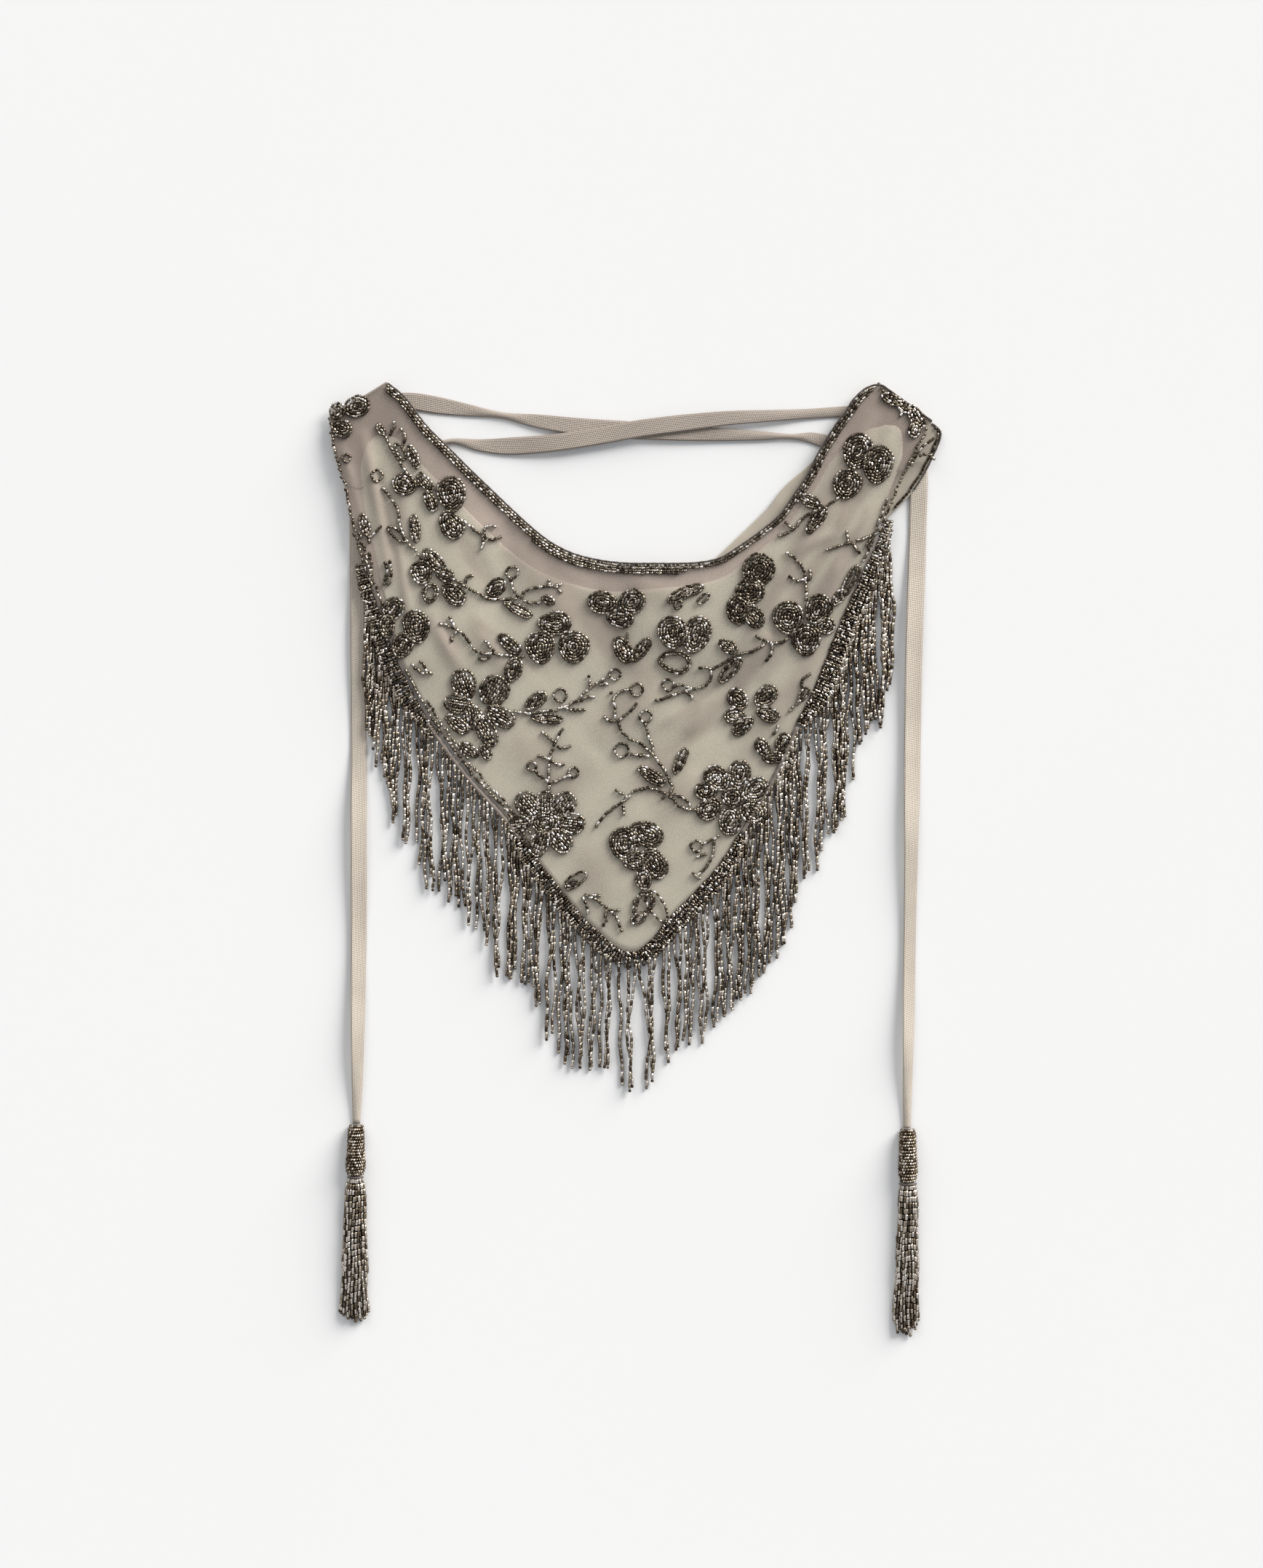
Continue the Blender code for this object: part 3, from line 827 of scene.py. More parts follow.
FINE_WIGGLE, BROAD_WIGGLE = 0.55, 1.05
STRAND_RADII = (0.74, 0.84)
FRINGE_TONE = 1.25
STRAND_TOP = 2.6
STRAND_LAYER = 0.8
OVER_RIBBON_X = -137.5
OVER_RIBBON = 1.1

# Colours, linear
LINING_ECRU = (0.81, 0.80, 0.655)
FACING_MAUVE = (0.72, 0.61, 0.535)
CORNER_MAUVE = (0.24, 0.19, 0.16)
HEM_MAUVE = (0.2, 0.165, 0.14)
NET_TAUPE = (0.43, 0.355, 0.30)
WING_ECRU = (0.47, 0.415, 0.335)
RIBBON_TAUPE = (0.62, 0.548, 0.455)
# The ribbon's darker colour: for its threads and edges, and for the painted shade where it runs from side to
# side
RIBBON_SHADE = (0.27, 0.215, 0.18)
ROLL_DARK = (0.06, 0.047, 0.04)
FLOOR_PALE = (0.88, 0.88, 0.88)
SKY_PALE = (0.94, 0.965, 1.0)
BEAD_TONES = (
    (0.0, (0.02, 0.0145, 0.01)),
    (0.3, (0.065, 0.05, 0.036)),
    (0.52, (0.19, 0.155, 0.115)),
    (0.76, (0.5, 0.425, 0.335)),
    (1.0, (1.0, 0.92, 0.85)),
)
STRAND_TONES = (
    (0.0, (0.02, 0.0135, 0.009)),
    (0.3, (0.07, 0.05, 0.034)),
    (0.52, (0.225, 0.176, 0.124)),
    (0.76, (0.62, 0.52, 0.405)),
    (1.0, (1.0, 0.92, 0.82)),
)

# Lights. Angles are in degrees, azimuth anticlockwise from +X
SKY_STRENGTH = 0.405
FLOOR_HALF = 12.0
StudioLight = namedtuple("StudioLight", "name azimuth elevation spread strength colour")
STUDIO_LIGHTS = rows_of(
    StudioLight,
    ("key", 46, 19, 36, 5.25, (1.0, 0.98, 0.95)),
    ("fill", 125, 30, 40, 0.8, (1.0, 0.985, 0.96)),
)


def smooth(share):
    """0 below 0 and 1 above 1, with an even slope between."""
    share = np.clip(share, 0.0, 1.0)
    return share * share * (3 - 2 * share)


def between(rows, stations):
    """A table's values at fractional stations, on smooth curves through its rows."""
    table = np.array(rows, float)
    stations = np.asarray(stations, float)
    last = len(table) - 1
    index = np.clip(stations.astype(int), 0, last - 1)
    share = (stations - index)[..., None]
    a, b, c, d = (table[np.clip(index + step, 0, last)] for step in (-1, 0, 1, 2))
    bend = (c - a) * share + (2 * a - 5 * b + 4 * c - d) * share**2
    return b + 0.5 * (bend + (3 * b - a - 3 * c + d) * share**3)


def straight_between(rows, stations):
    """The columns after the first, on straight lines between rows whose first column is a station."""
    table = np.array(rows, float)
    return [np.interp(stations, table[:, 0], column) for column in table[:, 1:].T]


def unit(vectors):
    """Vectors with the same directions and a length of one."""
    return vectors / np.linalg.norm(vectors, axis=-1, keepdims=True)


def line_lengths(points):
    """How long a line of points is from its start to each point."""
    return np.concatenate([[0], np.cumsum(np.linalg.norm(np.diff(points, axis=0), axis=1))])


def resample(points, step):
    """Even places about a step apart along a line of points, from its start to its end."""
    points = np.asarray(points, float)
    lengths = line_lengths(points)
    count = max(1, round(lengths[-1] / step))
    wanted = np.linspace(0, lengths[-1], count + 1)
    return np.stack([np.interp(wanted, lengths, column) for column in points.T], axis=1)


def bend(start, middle, end, count=24):
    """Points on a curve from start through middle to end."""
    start, middle, end = (np.array(point, float) for point in (start, middle, end))
    pull = 2 * middle - (start + end) / 2
    share = np.linspace(0, 1, count)[:, None]
    return (1 - share) ** 2 * start + 2 * share * (1 - share) * pull + share**2 * end


def near_lines(lines, x, y):
    """How far places are from each line, and the share of the way along it where each is nearest."""
    across_x = lines[:, 2] - lines[:, 0]
    across_y = lines[:, 3] - lines[:, 1]
    offset_x = np.asarray(x, float)[..., None] - lines[:, 0]
    offset_y = np.asarray(y, float)[..., None] - lines[:, 1]
    share = (offset_x * across_x + offset_y * across_y) / (across_x**2 + across_y**2)
    share = np.clip(share, 0, 1)
    return np.hypot(offset_x - share * across_x, offset_y - share * across_y), share


def lift(x, y):
    """How far the ties and folded ends beneath the cloth raise it. It is pressed flatter at its folds."""
    away, _ = near_lines(np.array(RAISED_LINES, float), x, y)
    from_fold, _ = near_lines(np.array(FOLD_LINES, float), x, y)
    pressed = 1 - FOLD_PRESS * (1 - smooth(from_fold.min(axis=-1) / FOLD_PRESS_REACH))
    raised = ENDS_LIFT * smooth((RAISED_REACH + RAISED_SLOPE - away.min(axis=-1)) / RAISED_SLOPE)
    return raised * pressed


def crease_profiles(x, y):
    """Each crease's share of its full height at a place, uneven along its length."""
    away, share = near_lines(CREASE_TABLE, x, y)
    uneven = 0.8 + 0.2 * np.sin(7 * share + np.arange(len(CREASE_TABLE)))
    return np.exp(-((away / CREASE_TABLE[:, 4]) ** 2)) * np.sin(np.pi * share) ** 0.6 * uneven


def ripple(x, y):
    """A faint unevenness of the whole cloth, in broad waves and fine ones."""
    broad = np.sin(x / 17 + 0.6 * np.sin(y / 23)) * np.sin(y / 21 + 0.7 * np.sin(x / 29) + 1)
    fine = np.sin((x + y) / 7.3 + np.sin(y / 11)) * np.sin((x - 1.6 * y) / 9.1)
    return RIPPLE_BROAD * broad + RIPPLE_FINE * fine


def cloth_lift(x, y):
    """How far the whole cloth stands above its lowest place, with its creases."""
    x, y = np.asarray(x, float), np.asarray(y, float)
    creases = CREASE_DEPTH * (crease_profiles(x, y) * CREASE_TABLE[:, 5]).sum(axis=-1)
    return lift(x, y) + np.maximum(0, CREASE_REST + creases + ripple(x, y))


def bunching_and_crease_shade(x, y):
    """Where the net is drawn together in a crease, from 0 to 1. The same share darkens the creases as painted
    shade.
    """
    creases = (crease_profiles(x, y) * np.abs(CREASE_TABLE[:, 5])).sum(axis=-1)
    return np.clip(creases, 0, 1)


def hem_frame(stations):
    """Places on the hem line and the outward direction there."""
    stations = np.asarray(stations, float)
    here = between(FRONT, stations)[..., 2:]
    ahead = between(FRONT, np.minimum(LAST_STATION, stations + 0.05))[..., 2:]
    behind = between(FRONT, np.maximum(0, stations - 0.05))[..., 2:]
    along = unit(ahead - behind)
    return here, np.stack([along[..., 1], -along[..., 0]], axis=-1)


def wrap_line(stations):
    """Places on the hem, the outward direction and the bead wrap's width there."""
    (width,) = straight_between(HEM_WRAP, stations)
    return *hem_frame(stations), width


def neck_share(stations):
    """Where the neckline's edge is on its way to the hem: on it, but for the rounded right corner."""
    return np.interp(stations, *zip(*NECK_ROUND, strict=True))


def across(stations, share):
    """Places on the front, at shares of the way from neckline to hem edge."""
    neck = between(FRONT, stations)[..., :2]
    hem, outward = hem_frame(stations)
    return neck + (hem - outward * HEM_MARGIN - neck) * np.asarray(share)[..., None]


def neck_line(stations, inset):
    """The neckline, moved into the cloth."""
    place = across(stations, neck_share(stations))
    along = unit(np.gradient(place, axis=0))
    return place + np.stack([along[:, 1], -along[:, 0]], axis=1) * inset


def hem_line(stations, inset):
    """The hem, moved into the cloth."""
    place, outward = hem_frame(stations)
    return place - outward * inset


def add_node(tree, kind, inputs=None, **settings):
    """A shader node, with sockets set to values or linked from other sockets."""
    node = tree.nodes.new(kind)
    for key, value in settings.items():
        setattr(node, key, value)
    for key, value in (inputs or {}).items():
        if isinstance(value, bpy.types.NodeSocket):
            tree.links.new(value, node.inputs[key])
        else:
            node.inputs[key].default_value = value
    return node


def object_place(tree):
    return add_node(tree, "ShaderNodeTexCoord").outputs["Object"]


def attribute(tree, name):
    return add_node(tree, "ShaderNodeAttribute", attribute_name=name).outputs["Fac"]


def noise(tree, place, scale, detail=2.0):
    """Cloudy noise, finer for a larger scale."""
    inputs = {"Vector": place, "Scale": scale, "Detail": detail}
    return add_node(tree, "ShaderNodeTexNoise", inputs).outputs["Fac"]


def math_node(tree, operation, *values):
    inputs = dict(enumerate(values))
    return add_node(tree, "ShaderNodeMath", inputs, operation=operation).outputs[0]


def map_range(tree, *values):
    """A value moved from one range to another: the value, the first range and the second."""
    return add_node(tree, "ShaderNodeMapRange", dict(enumerate(values))).outputs[0]


def add_ramp(tree, factor, stops):
    """A colour ramp through (position, colour) stops."""
    ramp = add_node(tree, "ShaderNodeValToRGB", {"Fac": factor})
    elements = ramp.color_ramp.elements
    for _ in stops[2:]:
        elements.new(0.5)
    for element, (position, colour) in zip(elements, stops, strict=True):
        element.position = position
        element.color = (*colour, 1)
    return ramp.outputs["Color"]


def shaded(colour, share):
    """A colour made darker, or lighter where the share is above 1."""
    return tuple(channel * share for channel in colour)


def tone_ramp(tree, factor, colour, *stops):
    """A ramp through (position, share) stops, each a share of one colour."""
    return add_ramp(tree, factor, [(position, shaded(colour, share)) for position, share in stops])


def mix_colours(tree, factor, low, high):
    """A colour between two others."""
    mix = add_node(tree, "ShaderNodeMix", data_type="RGBA")
    for index, value in ((0, factor), (6, low), (7, high)):
        if isinstance(value, bpy.types.NodeSocket):
            tree.links.new(value, mix.inputs[index])
        else:
            mix.inputs[index].default_value = (*value, 1)
    return mix.outputs[2]


def new_material(name, **sockets):
    """A material's tree and its shader, with the shader's constant sockets set."""
    material = bpy.data.materials.new(name)
    material.use_nodes = True
    tree = material.node_tree
    shader = tree.nodes["Principled BSDF"]
    for key, value in sockets.items():
        shader.inputs[key.replace("_", " ").title()].default_value = value
    return material, tree, shader


def link_finish(tree, shader, colour, height, strength, depth):
    """Give a shader its colour, and a bump whose depth is in millimetres."""
    inputs = {"Height": height, "Strength": strength, "Distance": depth * MM}
    tree.links.new(add_node(tree, "ShaderNodeBump", inputs).outputs[0], shader.inputs["Normal"])
    tree.links.new(colour, shader.inputs["Base Color"])


def weave_height(tree, place, pitch_along, pitch_across, angle):
    """A plain weave's height, from two crossing sets of threads. The pitches are in millimetres."""
    inputs = {"Vector": place, "Rotation": (0, 0, math.radians(angle))}
    turned = add_node(tree, "ShaderNodeMapping", inputs).outputs[0]
    parts = add_node(tree, "ShaderNodeSeparateXYZ", {0: turned})
    waves = []
    for axis, pitch in (("X", pitch_along), ("Y", pitch_across)):
        turn = math_node(tree, "MULTIPLY", parts.outputs[axis], 2 * math.pi / (pitch * MM))
        waves.append(math_node(tree, "SINE", turn))
    return math_node(tree, "MULTIPLY", *waves)


def cloth_material(name, colour, edge_colour, pitch, angle, roughness, bump):
    """Fine woven cloth, with uneven colour and a fine weave, blending into another colour at its edge."""
    material, tree, shader = new_material(name, roughness=roughness, sheen_weight=0.3)
    place = object_place(tree)
    weave = weave_height(tree, place, pitch, pitch, angle)
    base = tone_ramp(tree, noise(tree, place, 28.0, 4.0), colour, (0.3, 0.9), (0.5, 1.0), (0.72, 1.06))
    thread = math_node(tree, "MULTIPLY_ADD", weave, 0.05, 0.1)
    dark = math_node(tree, "MULTIPLY_ADD", noise(tree, place, 900.0), 0.3, thread)
    woven = mix_colours(tree, dark, base, shaded(colour, 0.62))
    final = mix_colours(tree, attribute(tree, "edge"), woven, edge_colour)
    link_finish(tree, shader, final, weave, strength=bump, depth=0.08)
    return material


def net_material(name, colour, hole, thread, bunched_and_crease_shade):
    """Net: threads with small holes between, closer where the cloth is drawn together in creases, which also
    paints shade into the creases.
    """
    material, tree, shader = new_material(name, roughness=0.7, sheen_weight=0.4)
    place = object_place(tree)
    weave = weave_height(tree, place, NET_PITCH, NET_PITCH * 0.8, NET_ANGLE)
    mesh = math_node(tree, "MULTIPLY", weave, weave)
    uneven = noise(tree, place, 45.0, 3.0)
    cover = map_range(tree, mesh, 0.0, 0.6, thread, hole)
    # Thicker net where it is drawn together, which also paints shade into the creases
    drawn = math_node(tree, "MULTIPLY_ADD", attribute(tree, "bunch_and_crease_shade"), bunched_and_crease_shade, cover)
    alpha = math_node(tree, "MULTIPLY_ADD", uneven, 0.07, drawn)
    tree.links.new(alpha, shader.inputs["Alpha"])
    base = tone_ramp(tree, uneven, colour, (0.3, 0.88), (0.7, 1.12))
    link_finish(tree, shader, base, mesh, strength=0.25, depth=0.1)
    return material


def ribbon_material(name, colour, shade):
    """A woven ribbon, darker at its edges, with painted shade where it runs from side to side."""
    material, tree, shader = new_material(name, roughness=0.5, sheen_weight=0.25)
    place = add_node(tree, "ShaderNodeUVMap", uv_map="weave").outputs[0]
    weave = weave_height(tree, place, 1.5, 1.2, 40)
    aside = add_node(tree, "ShaderNodeSeparateXYZ", {0: place}).outputs["Y"]
    edge = map_range(tree, math_node(tree, "ABSOLUTE", aside), 3.6 * MM, 4.4 * MM, 0.0, 0.35)
    base = tone_ramp(tree, noise(tree, place, 35.0, 3.0), colour, (0.3, 0.86), (0.5, 1.0), (0.7, 1.1))
    thread = map_range(tree, weave, -1.0, 1.0, 0.46, 0.0)
    dark = math_node(tree, "ADD", thread, edge)
    # Painted shade: darker where the ribbon runs from side to side, standing in for its sheen turned away
    # from the light
    dark = math_node(tree, "MULTIPLY_ADD", attribute(tree, "turned"), 0.48, dark)
    final = mix_colours(tree, dark, base, shade)
    link_finish(tree, shader, final, weave, strength=0.7, depth=0.16)
    return material


def bead_material(name, tones):
    """Smoked glass lined with silver: most facets dark, a few of them bright. Their tones carry painted
    light: lighter upper facets, painted shade on sides, bevels and holes, and painted glints.
    """
    tint = (0.3, 0.25, 0.21, 1)
    material, tree, shader = new_material(name, metallic=1.0, roughness=0.25, specular_tint=tint)
    grain = noise(tree, object_place(tree), 1800.0, 1.0)
    base = add_ramp(tree, attribute(tree, "tone"), tones)
    link_finish(tree, shader, base, grain, strength=0.3, depth=0.06)
    return material


def thread_material(name, colour):
    """Dark thread, wound or rolled."""
    material, tree, shader = new_material(name, roughness=0.75, sheen_weight=0.3)
    wound = noise(tree, object_place(tree), 1400.0)
    base = tone_ramp(tree, wound, colour, (0.35, 0.5), (0.65, 1.9))
    link_finish(tree, shader, base, wound, strength=0.8, depth=0.3)
    return material


def add_piece(name, mesh, material, slot, *nodes):
    """Put a mesh in the scene, on the root body, in place of its CAD nodes."""
    mesh.materials.append(material)
    piece = bpy.data.objects.new(name, mesh)
    bpy.context.scene.collection.objects.link(piece)
    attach(piece, "root")
    if nodes:
        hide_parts(*nodes)
    return piece


def add_values(mesh, name, domain, values):
    """An attribute of a mesh, with one value for each of its points or faces."""
    data = mesh.attributes.new(name, "FLOAT", domain).data
    data.foreach_set("value", np.asarray(values).astype(np.float32).ravel())


def add_wall(piece, thickness):
    """Make a sheet solid, half of its thickness to each side."""
    wall = piece.modifiers.new("wall", "SOLIDIFY")
    wall.thickness = thickness * MM
    wall.offset = 0


def grid_mesh(name, rows):
    """A smooth mesh through rows of points in millimetres, an array of rows by columns by three."""
    rows = np.asarray(rows, float)
    count, width = rows.shape[:2]
    index = np.arange(count * width).reshape(count, width)
    quads = np.stack([index[:-1, :-1], index[:-1, 1:], index[1:, 1:], index[1:, :-1]], axis=-1)
    mesh = bpy.data.meshes.new(name)
    mesh.from_pydata((rows.reshape(-1, 3) * MM).tolist(), [], quads.reshape(-1, 4).tolist())
    mesh.shade_smooth()
    return mesh


def add_cloth(name, rows, material, thickness, slot, node):
    """A thin sheet of cloth through rows of points."""
    piece = add_piece(name, grid_mesh(name, rows), material, slot, node)
    add_wall(piece, thickness)
    return piece


def front_rows(stations, low, high, height, columns):
    """Rows of the front between two shares at each station, on the creased cloth."""
    stations = np.asarray(stations, float)
    shares = np.linspace(0, 1, columns)
    low, high = (np.broadcast_to(side, stations.shape)[:, None] for side in (low, high))
    share = low + (high - low) * shares
    places = across(np.repeat(stations[:, None], columns, axis=1), share)
    x, y = places[..., 0], places[..., 1]
    return np.stack([x, y, height + cloth_lift(x, y)], axis=-1)


def end_rows(sections, columns):
    """Rows of a folded end, from just past its fold to its tip."""
    table = between(sections, np.arange(0, len(sections) - 1 + 0.01, 0.2))
    share = np.linspace(0, 1, columns)[:, None]
    rows = table[:, None, :2] * (1 - share) + table[:, None, 2:] * share
    x, y = rows[..., 0], rows[..., 1]
    return np.stack([x, y, FOLDED_END_HEIGHT + FOLDED_END_RIPPLE * ripple(x, y)], axis=-1)


def fold_rows(front_row, end_row, outward_sign):
    """The half turn between the front's last row and the folded end's first."""
    along = front_row[-1, :2] - front_row[0, :2]
    along /= np.linalg.norm(along)
    outward = np.array([along[1], -along[0]]) * outward_sign
    rows = []
    for turn in np.linspace(0, np.pi, FOLD_STEPS + 2)[1:-1]:
        share = (1 - math.cos(turn)) / 2
        row = front_row * (1 - share) + end_row * share
        row[:, :2] += outward * FOLD_OUT * math.sin(turn)
        rows.append(row)
    return rows


def add_net(front_material, end_material, fold_material):
    """The net triangle in one piece: left end, left fold, front, right fold, right end."""
    stations = np.arange(0, LAST_STATION + 0.01, CLOTH_STEP)
    front = front_rows(stations, neck_share(stations), 1, NET_HEIGHT, NET_COLUMNS)
    left = end_rows(LEFT_END, NET_COLUMNS)
    right = end_rows(RIGHT_END, NET_COLUMNS)
    left_fold = fold_rows(front[0], left[0], 1)
    right_fold = fold_rows(front[-1], right[0], -1)
    rows = np.array([*left[::-1], *left_fold[::-1], *front, *right_fold, *right])
    net = add_cloth("net_cloth", rows, front_material, NET_THICKNESS, "net", "net_body")
    mesh = net.data
    mesh.materials.append(end_material)
    mesh.materials.append(fold_material)
    face_row = np.arange(len(mesh.polygons)) // (NET_COLUMNS - 1)
    front_start = len(left) + FOLD_STEPS
    front_end = front_start + len(front) - 1
    finish = np.zeros(len(face_row), np.int32)
    finish[(face_row < front_start) | (face_row >= front_end)] = 2
    finish[(face_row < len(left) - 1) | (face_row > front_end + FOLD_STEPS)] = 1
    mesh.polygons.foreach_set("material_index", finish)
    # Where the net is drawn together, which also sets the painted shade in its creases
    add_values(mesh, "bunch_and_crease_shade", "POINT", bunching_and_crease_shade(rows[..., 0], rows[..., 1]))
    return net


def add_lining(material):
    """The lining, rounded off at both of its ends, lower and darker towards the edges that show."""
    first, last = LINING[0].station, LINING[-1].station
    ease = LINING_ROUND * (1 - np.cos(np.linspace(0, np.pi / 2, 12)))
    whole = np.arange(first + LINING_ROUND, last - LINING_ROUND, CLOTH_STEP)
    stations = np.concatenate([first + ease[:-1], whole, last - ease[::-1]])
    inner, outer = straight_between(LINING, stations)
    for end in (first, last):
        near = np.clip(1 - np.abs(stations - end) / LINING_ROUND, 0, 1)
        tuck = (outer - inner) / 2 * (1 - np.sqrt(1 - near**2))
        inner, outer = inner + tuck, outer - tuck
    rows = front_rows(stations, inner, outer, LINING_HEIGHT, LINING_COLUMNS)
    soft = (stations < SOFT_EDGE_LEFT) | (stations > SOFT_EDGE_RIGHT)
    rim = np.concatenate([rows[:, 0], rows[0], rows[-1], rows[soft, -1]])[:, :2]
    from_rim = [np.linalg.norm(row[:, None, :2] - rim, axis=-1).min(axis=1) for row in rows]
    from_edge = np.stack(from_rim)
    uneven = 0.5 * np.sin(rows[..., 0] / 3.1) * np.sin(rows[..., 1] / 4.3)
    rows[..., 2] -= EDGE_DIP * smooth(1 - from_edge / EDGE_DIP_REACH)
    lining = add_cloth("lining_cloth", rows, material, CLOTH_THICKNESS, "lining", "lining")
    blend = EDGE_SHARE * smooth(1 - (from_edge + uneven) / EDGE_BLEND)
    add_values(lining.data, "edge", "POINT", blend)
    return lining


def add_facing(name, node, rows, shade, material):
    """A band of facing through rows of points, with its own shade at each row."""
    facing = add_cloth(name, rows, material, CLOTH_THICKNESS, "facing", node)
    add_values(facing.data, "edge", "POINT", np.repeat(shade, rows.shape[1]))
    return facing


def add_facings(material):
    """The facings along the neckline and down the upper left side, under the net and the lining's edges."""
    first, last = LINING[0].station, LINING[-1].station
    stations = np.arange(0.12, LAST_STATION - 0.11, 0.12)
    inner, _ = straight_between(LINING, stations)
    inside = np.minimum(stations - first, last - stations) - CORNER_UNDERLAP
    high = 1.0 + (inner + FACING_UNDERLAP - 1.0) * smooth(inside / CORNER_EASE)
    low = neck_share(stations) + FACING_START
    rows = front_rows(stations, low, high, LINING_HEIGHT - NECK_FACING_BELOW, NECK_FACING_COLUMNS)
    # Darker towards the corners; along the middle, painted lighter against the neck beads' shadow
    (shade,) = straight_between(FACING_SHADES, stations)
    neck = add_facing("neck_facing_cloth", "neck_facing", rows, shade, material)
    stations = np.arange(first + CORNER_UNDERLAP + 0.05, HEM_FACING_END + 0.01, CLOTH_STEP)
    _, outer = straight_between(LINING, stations)
    low = outer - FACING_UNDERLAP
    rows = front_rows(stations, low, 1, LINING_HEIGHT - HEM_FACING_BELOW, HEM_FACING_COLUMNS)
    shade = np.full(len(stations), HEM_FACING_SHADE)
    return neck, add_facing("hem_facing_cloth", "hem_facing", rows, shade, material)


def ribbon_wave(x, y):
    """How far a ribbon's long low waves lift it, outside the cloth's outline and behind the neck opening."""
    beside = smooth((np.abs(x) - BESIDE_X) / 8) * smooth((BEHIND_Y - y) / 25) * (0.5 - 0.5 * np.cos(y / 17))
    behind = smooth((y - BEHIND_Y) / 6) * np.cos(np.pi * np.clip(x / 210, -0.5, 0.5)) ** 2
    return RIBBON_WAVE * beside + RIBBON_ARCH * behind


def ribbon_curl(x, y):
    """How far the left edge of a hanging ribbon curls up, clear of the fringe and the tassels."""
    top = np.where(x < 0, CURL_TOP_LEFT, CURL_TOP_RIGHT)
    hanging = smooth((np.abs(x) - BESIDE_X) / 8) * smooth((top - y) / 40) * smooth((y - CURL_BOTTOM) / 50)
    return RIBBON_CURL * hanging * (0.8 + 0.2 * np.cos(y / 27))


def add_ribbon(name, node, stops, material, seed):
    """A flat ribbon and the path of its middle. Where it narrows, it is pinched into a ridge."""
    table = between(stops, np.arange(0, len(stops) - 1 + 0.01, 1 / 8))
    table[:, 2] = np.maximum(0, table[:, 2])
    along = unit(np.gradient(table[:, :2], axis=0))
    x, y, bottom, width = (table[:, k, None] for k in range(4))
    t = np.linspace(-1, 1, RIBBON_COLUMNS)
    pinch = smooth((PINCH_WIDTH - width) / PINCH_EASE)
    length = line_lengths(table[:, :2])[:, None]
    sway = 0.22 * np.sin(length / 19 + seed) + 0.14 * np.sin(length / 8.3 + 2 * seed)
    z = bottom + RIBBON_LIFT + pinch * (1 - t**2) + ribbon_wave(x, y) + RIBBON_SWAY * (1 + sway * (1 + t))
    z += ribbon_curl(x, y) * ((1 - t) / 2) ** 1.5
    rows = np.stack([x - along[:, 1:] * t * width / 2, y + along[:, :1] * t * width / 2, z], axis=-1)
    ribbon = grid_mesh(name, rows)
    loops = np.empty(len(ribbon.loops), np.int32)
    ribbon.loops.foreach_get("vertex_index", loops)
    flat = np.stack(np.broadcast_arrays(length * MM, RIBBON_WIDTH / 2 * t * MM), axis=-1)
    uv = flat.reshape(-1, 2)[loops].astype(np.float32)
    ribbon.uv_layers.new(name="weave").data.foreach_set("uv", uv.ravel())
    # How far each row runs from side to side, which sets the ribbon's painted shade
    add_values(ribbon, "turned", "POINT", np.repeat(np.abs(along[:, 0]), RIBBON_COLUMNS))
    piece = add_piece(name, ribbon, material, "ribbon", node)
    add_wall(piece, RIBBON_THICKNESS)
    path = np.column_stack([table[:, :2], table[:, 2] + RIBBON_LIFT + RIBBON_SWAY]) * MM
    return piece, path


def flower_tone(petal):
    """How much lighter or darker than most a petal's beads are."""
    for patch in FLOWER_TONES:
        if math.hypot(petal.px_x - patch.px_x, petal.px_y - patch.px_y) < patch.reach:
            return patch.tone
    return 1.0


def bead_faces():
    """The corners of a bead's facets: three bands of quads, then its two ends."""
    quads = []
    for band in range(3):
        for i in range(BEAD_SIDES):
            j = (i + 1) % BEAD_SIDES
            low, high = band * BEAD_SIDES, (band + 1) * BEAD_SIDES
            quads.append((low + i, low + j, high + j, high + i))
    near_end, far_end = range(BEAD_SIDES)[::-1], range(3 * BEAD_SIDES, 4 * BEAD_SIDES)
    return np.array(quads), np.array([near_end, far_end])


def bead_mesh(name, points, count):
    """One mesh of many beads, from the points of each bead's four rings."""
    quads, caps = bead_faces()
    first = np.arange(count)[:, None, None] * (4 * BEAD_SIDES)
    faces = [(part[None] + first).reshape(count, -1) for part in (quads, caps)]
    corners = np.concatenate(faces, axis=1).ravel()
    sizes = np.tile([4] * len(quads) + [BEAD_SIDES] * len(caps), count)
    starts = np.concatenate([[0], np.cumsum(sizes)[:-1]])
    mesh = bpy.data.meshes.new(name)
    mesh.vertices.add(len(points))
    mesh.vertices.foreach_set("co", points.astype(np.float32).ravel())
    mesh.loops.add(len(corners))
    mesh.loops.foreach_set("vertex_index", corners.astype(np.int32))
    mesh.polygons.add(len(starts))
    mesh.polygons.foreach_set("loop_start", starts.astype(np.int32))
    mesh.update(calc_edges=True)
    mesh.validate()
    return mesh


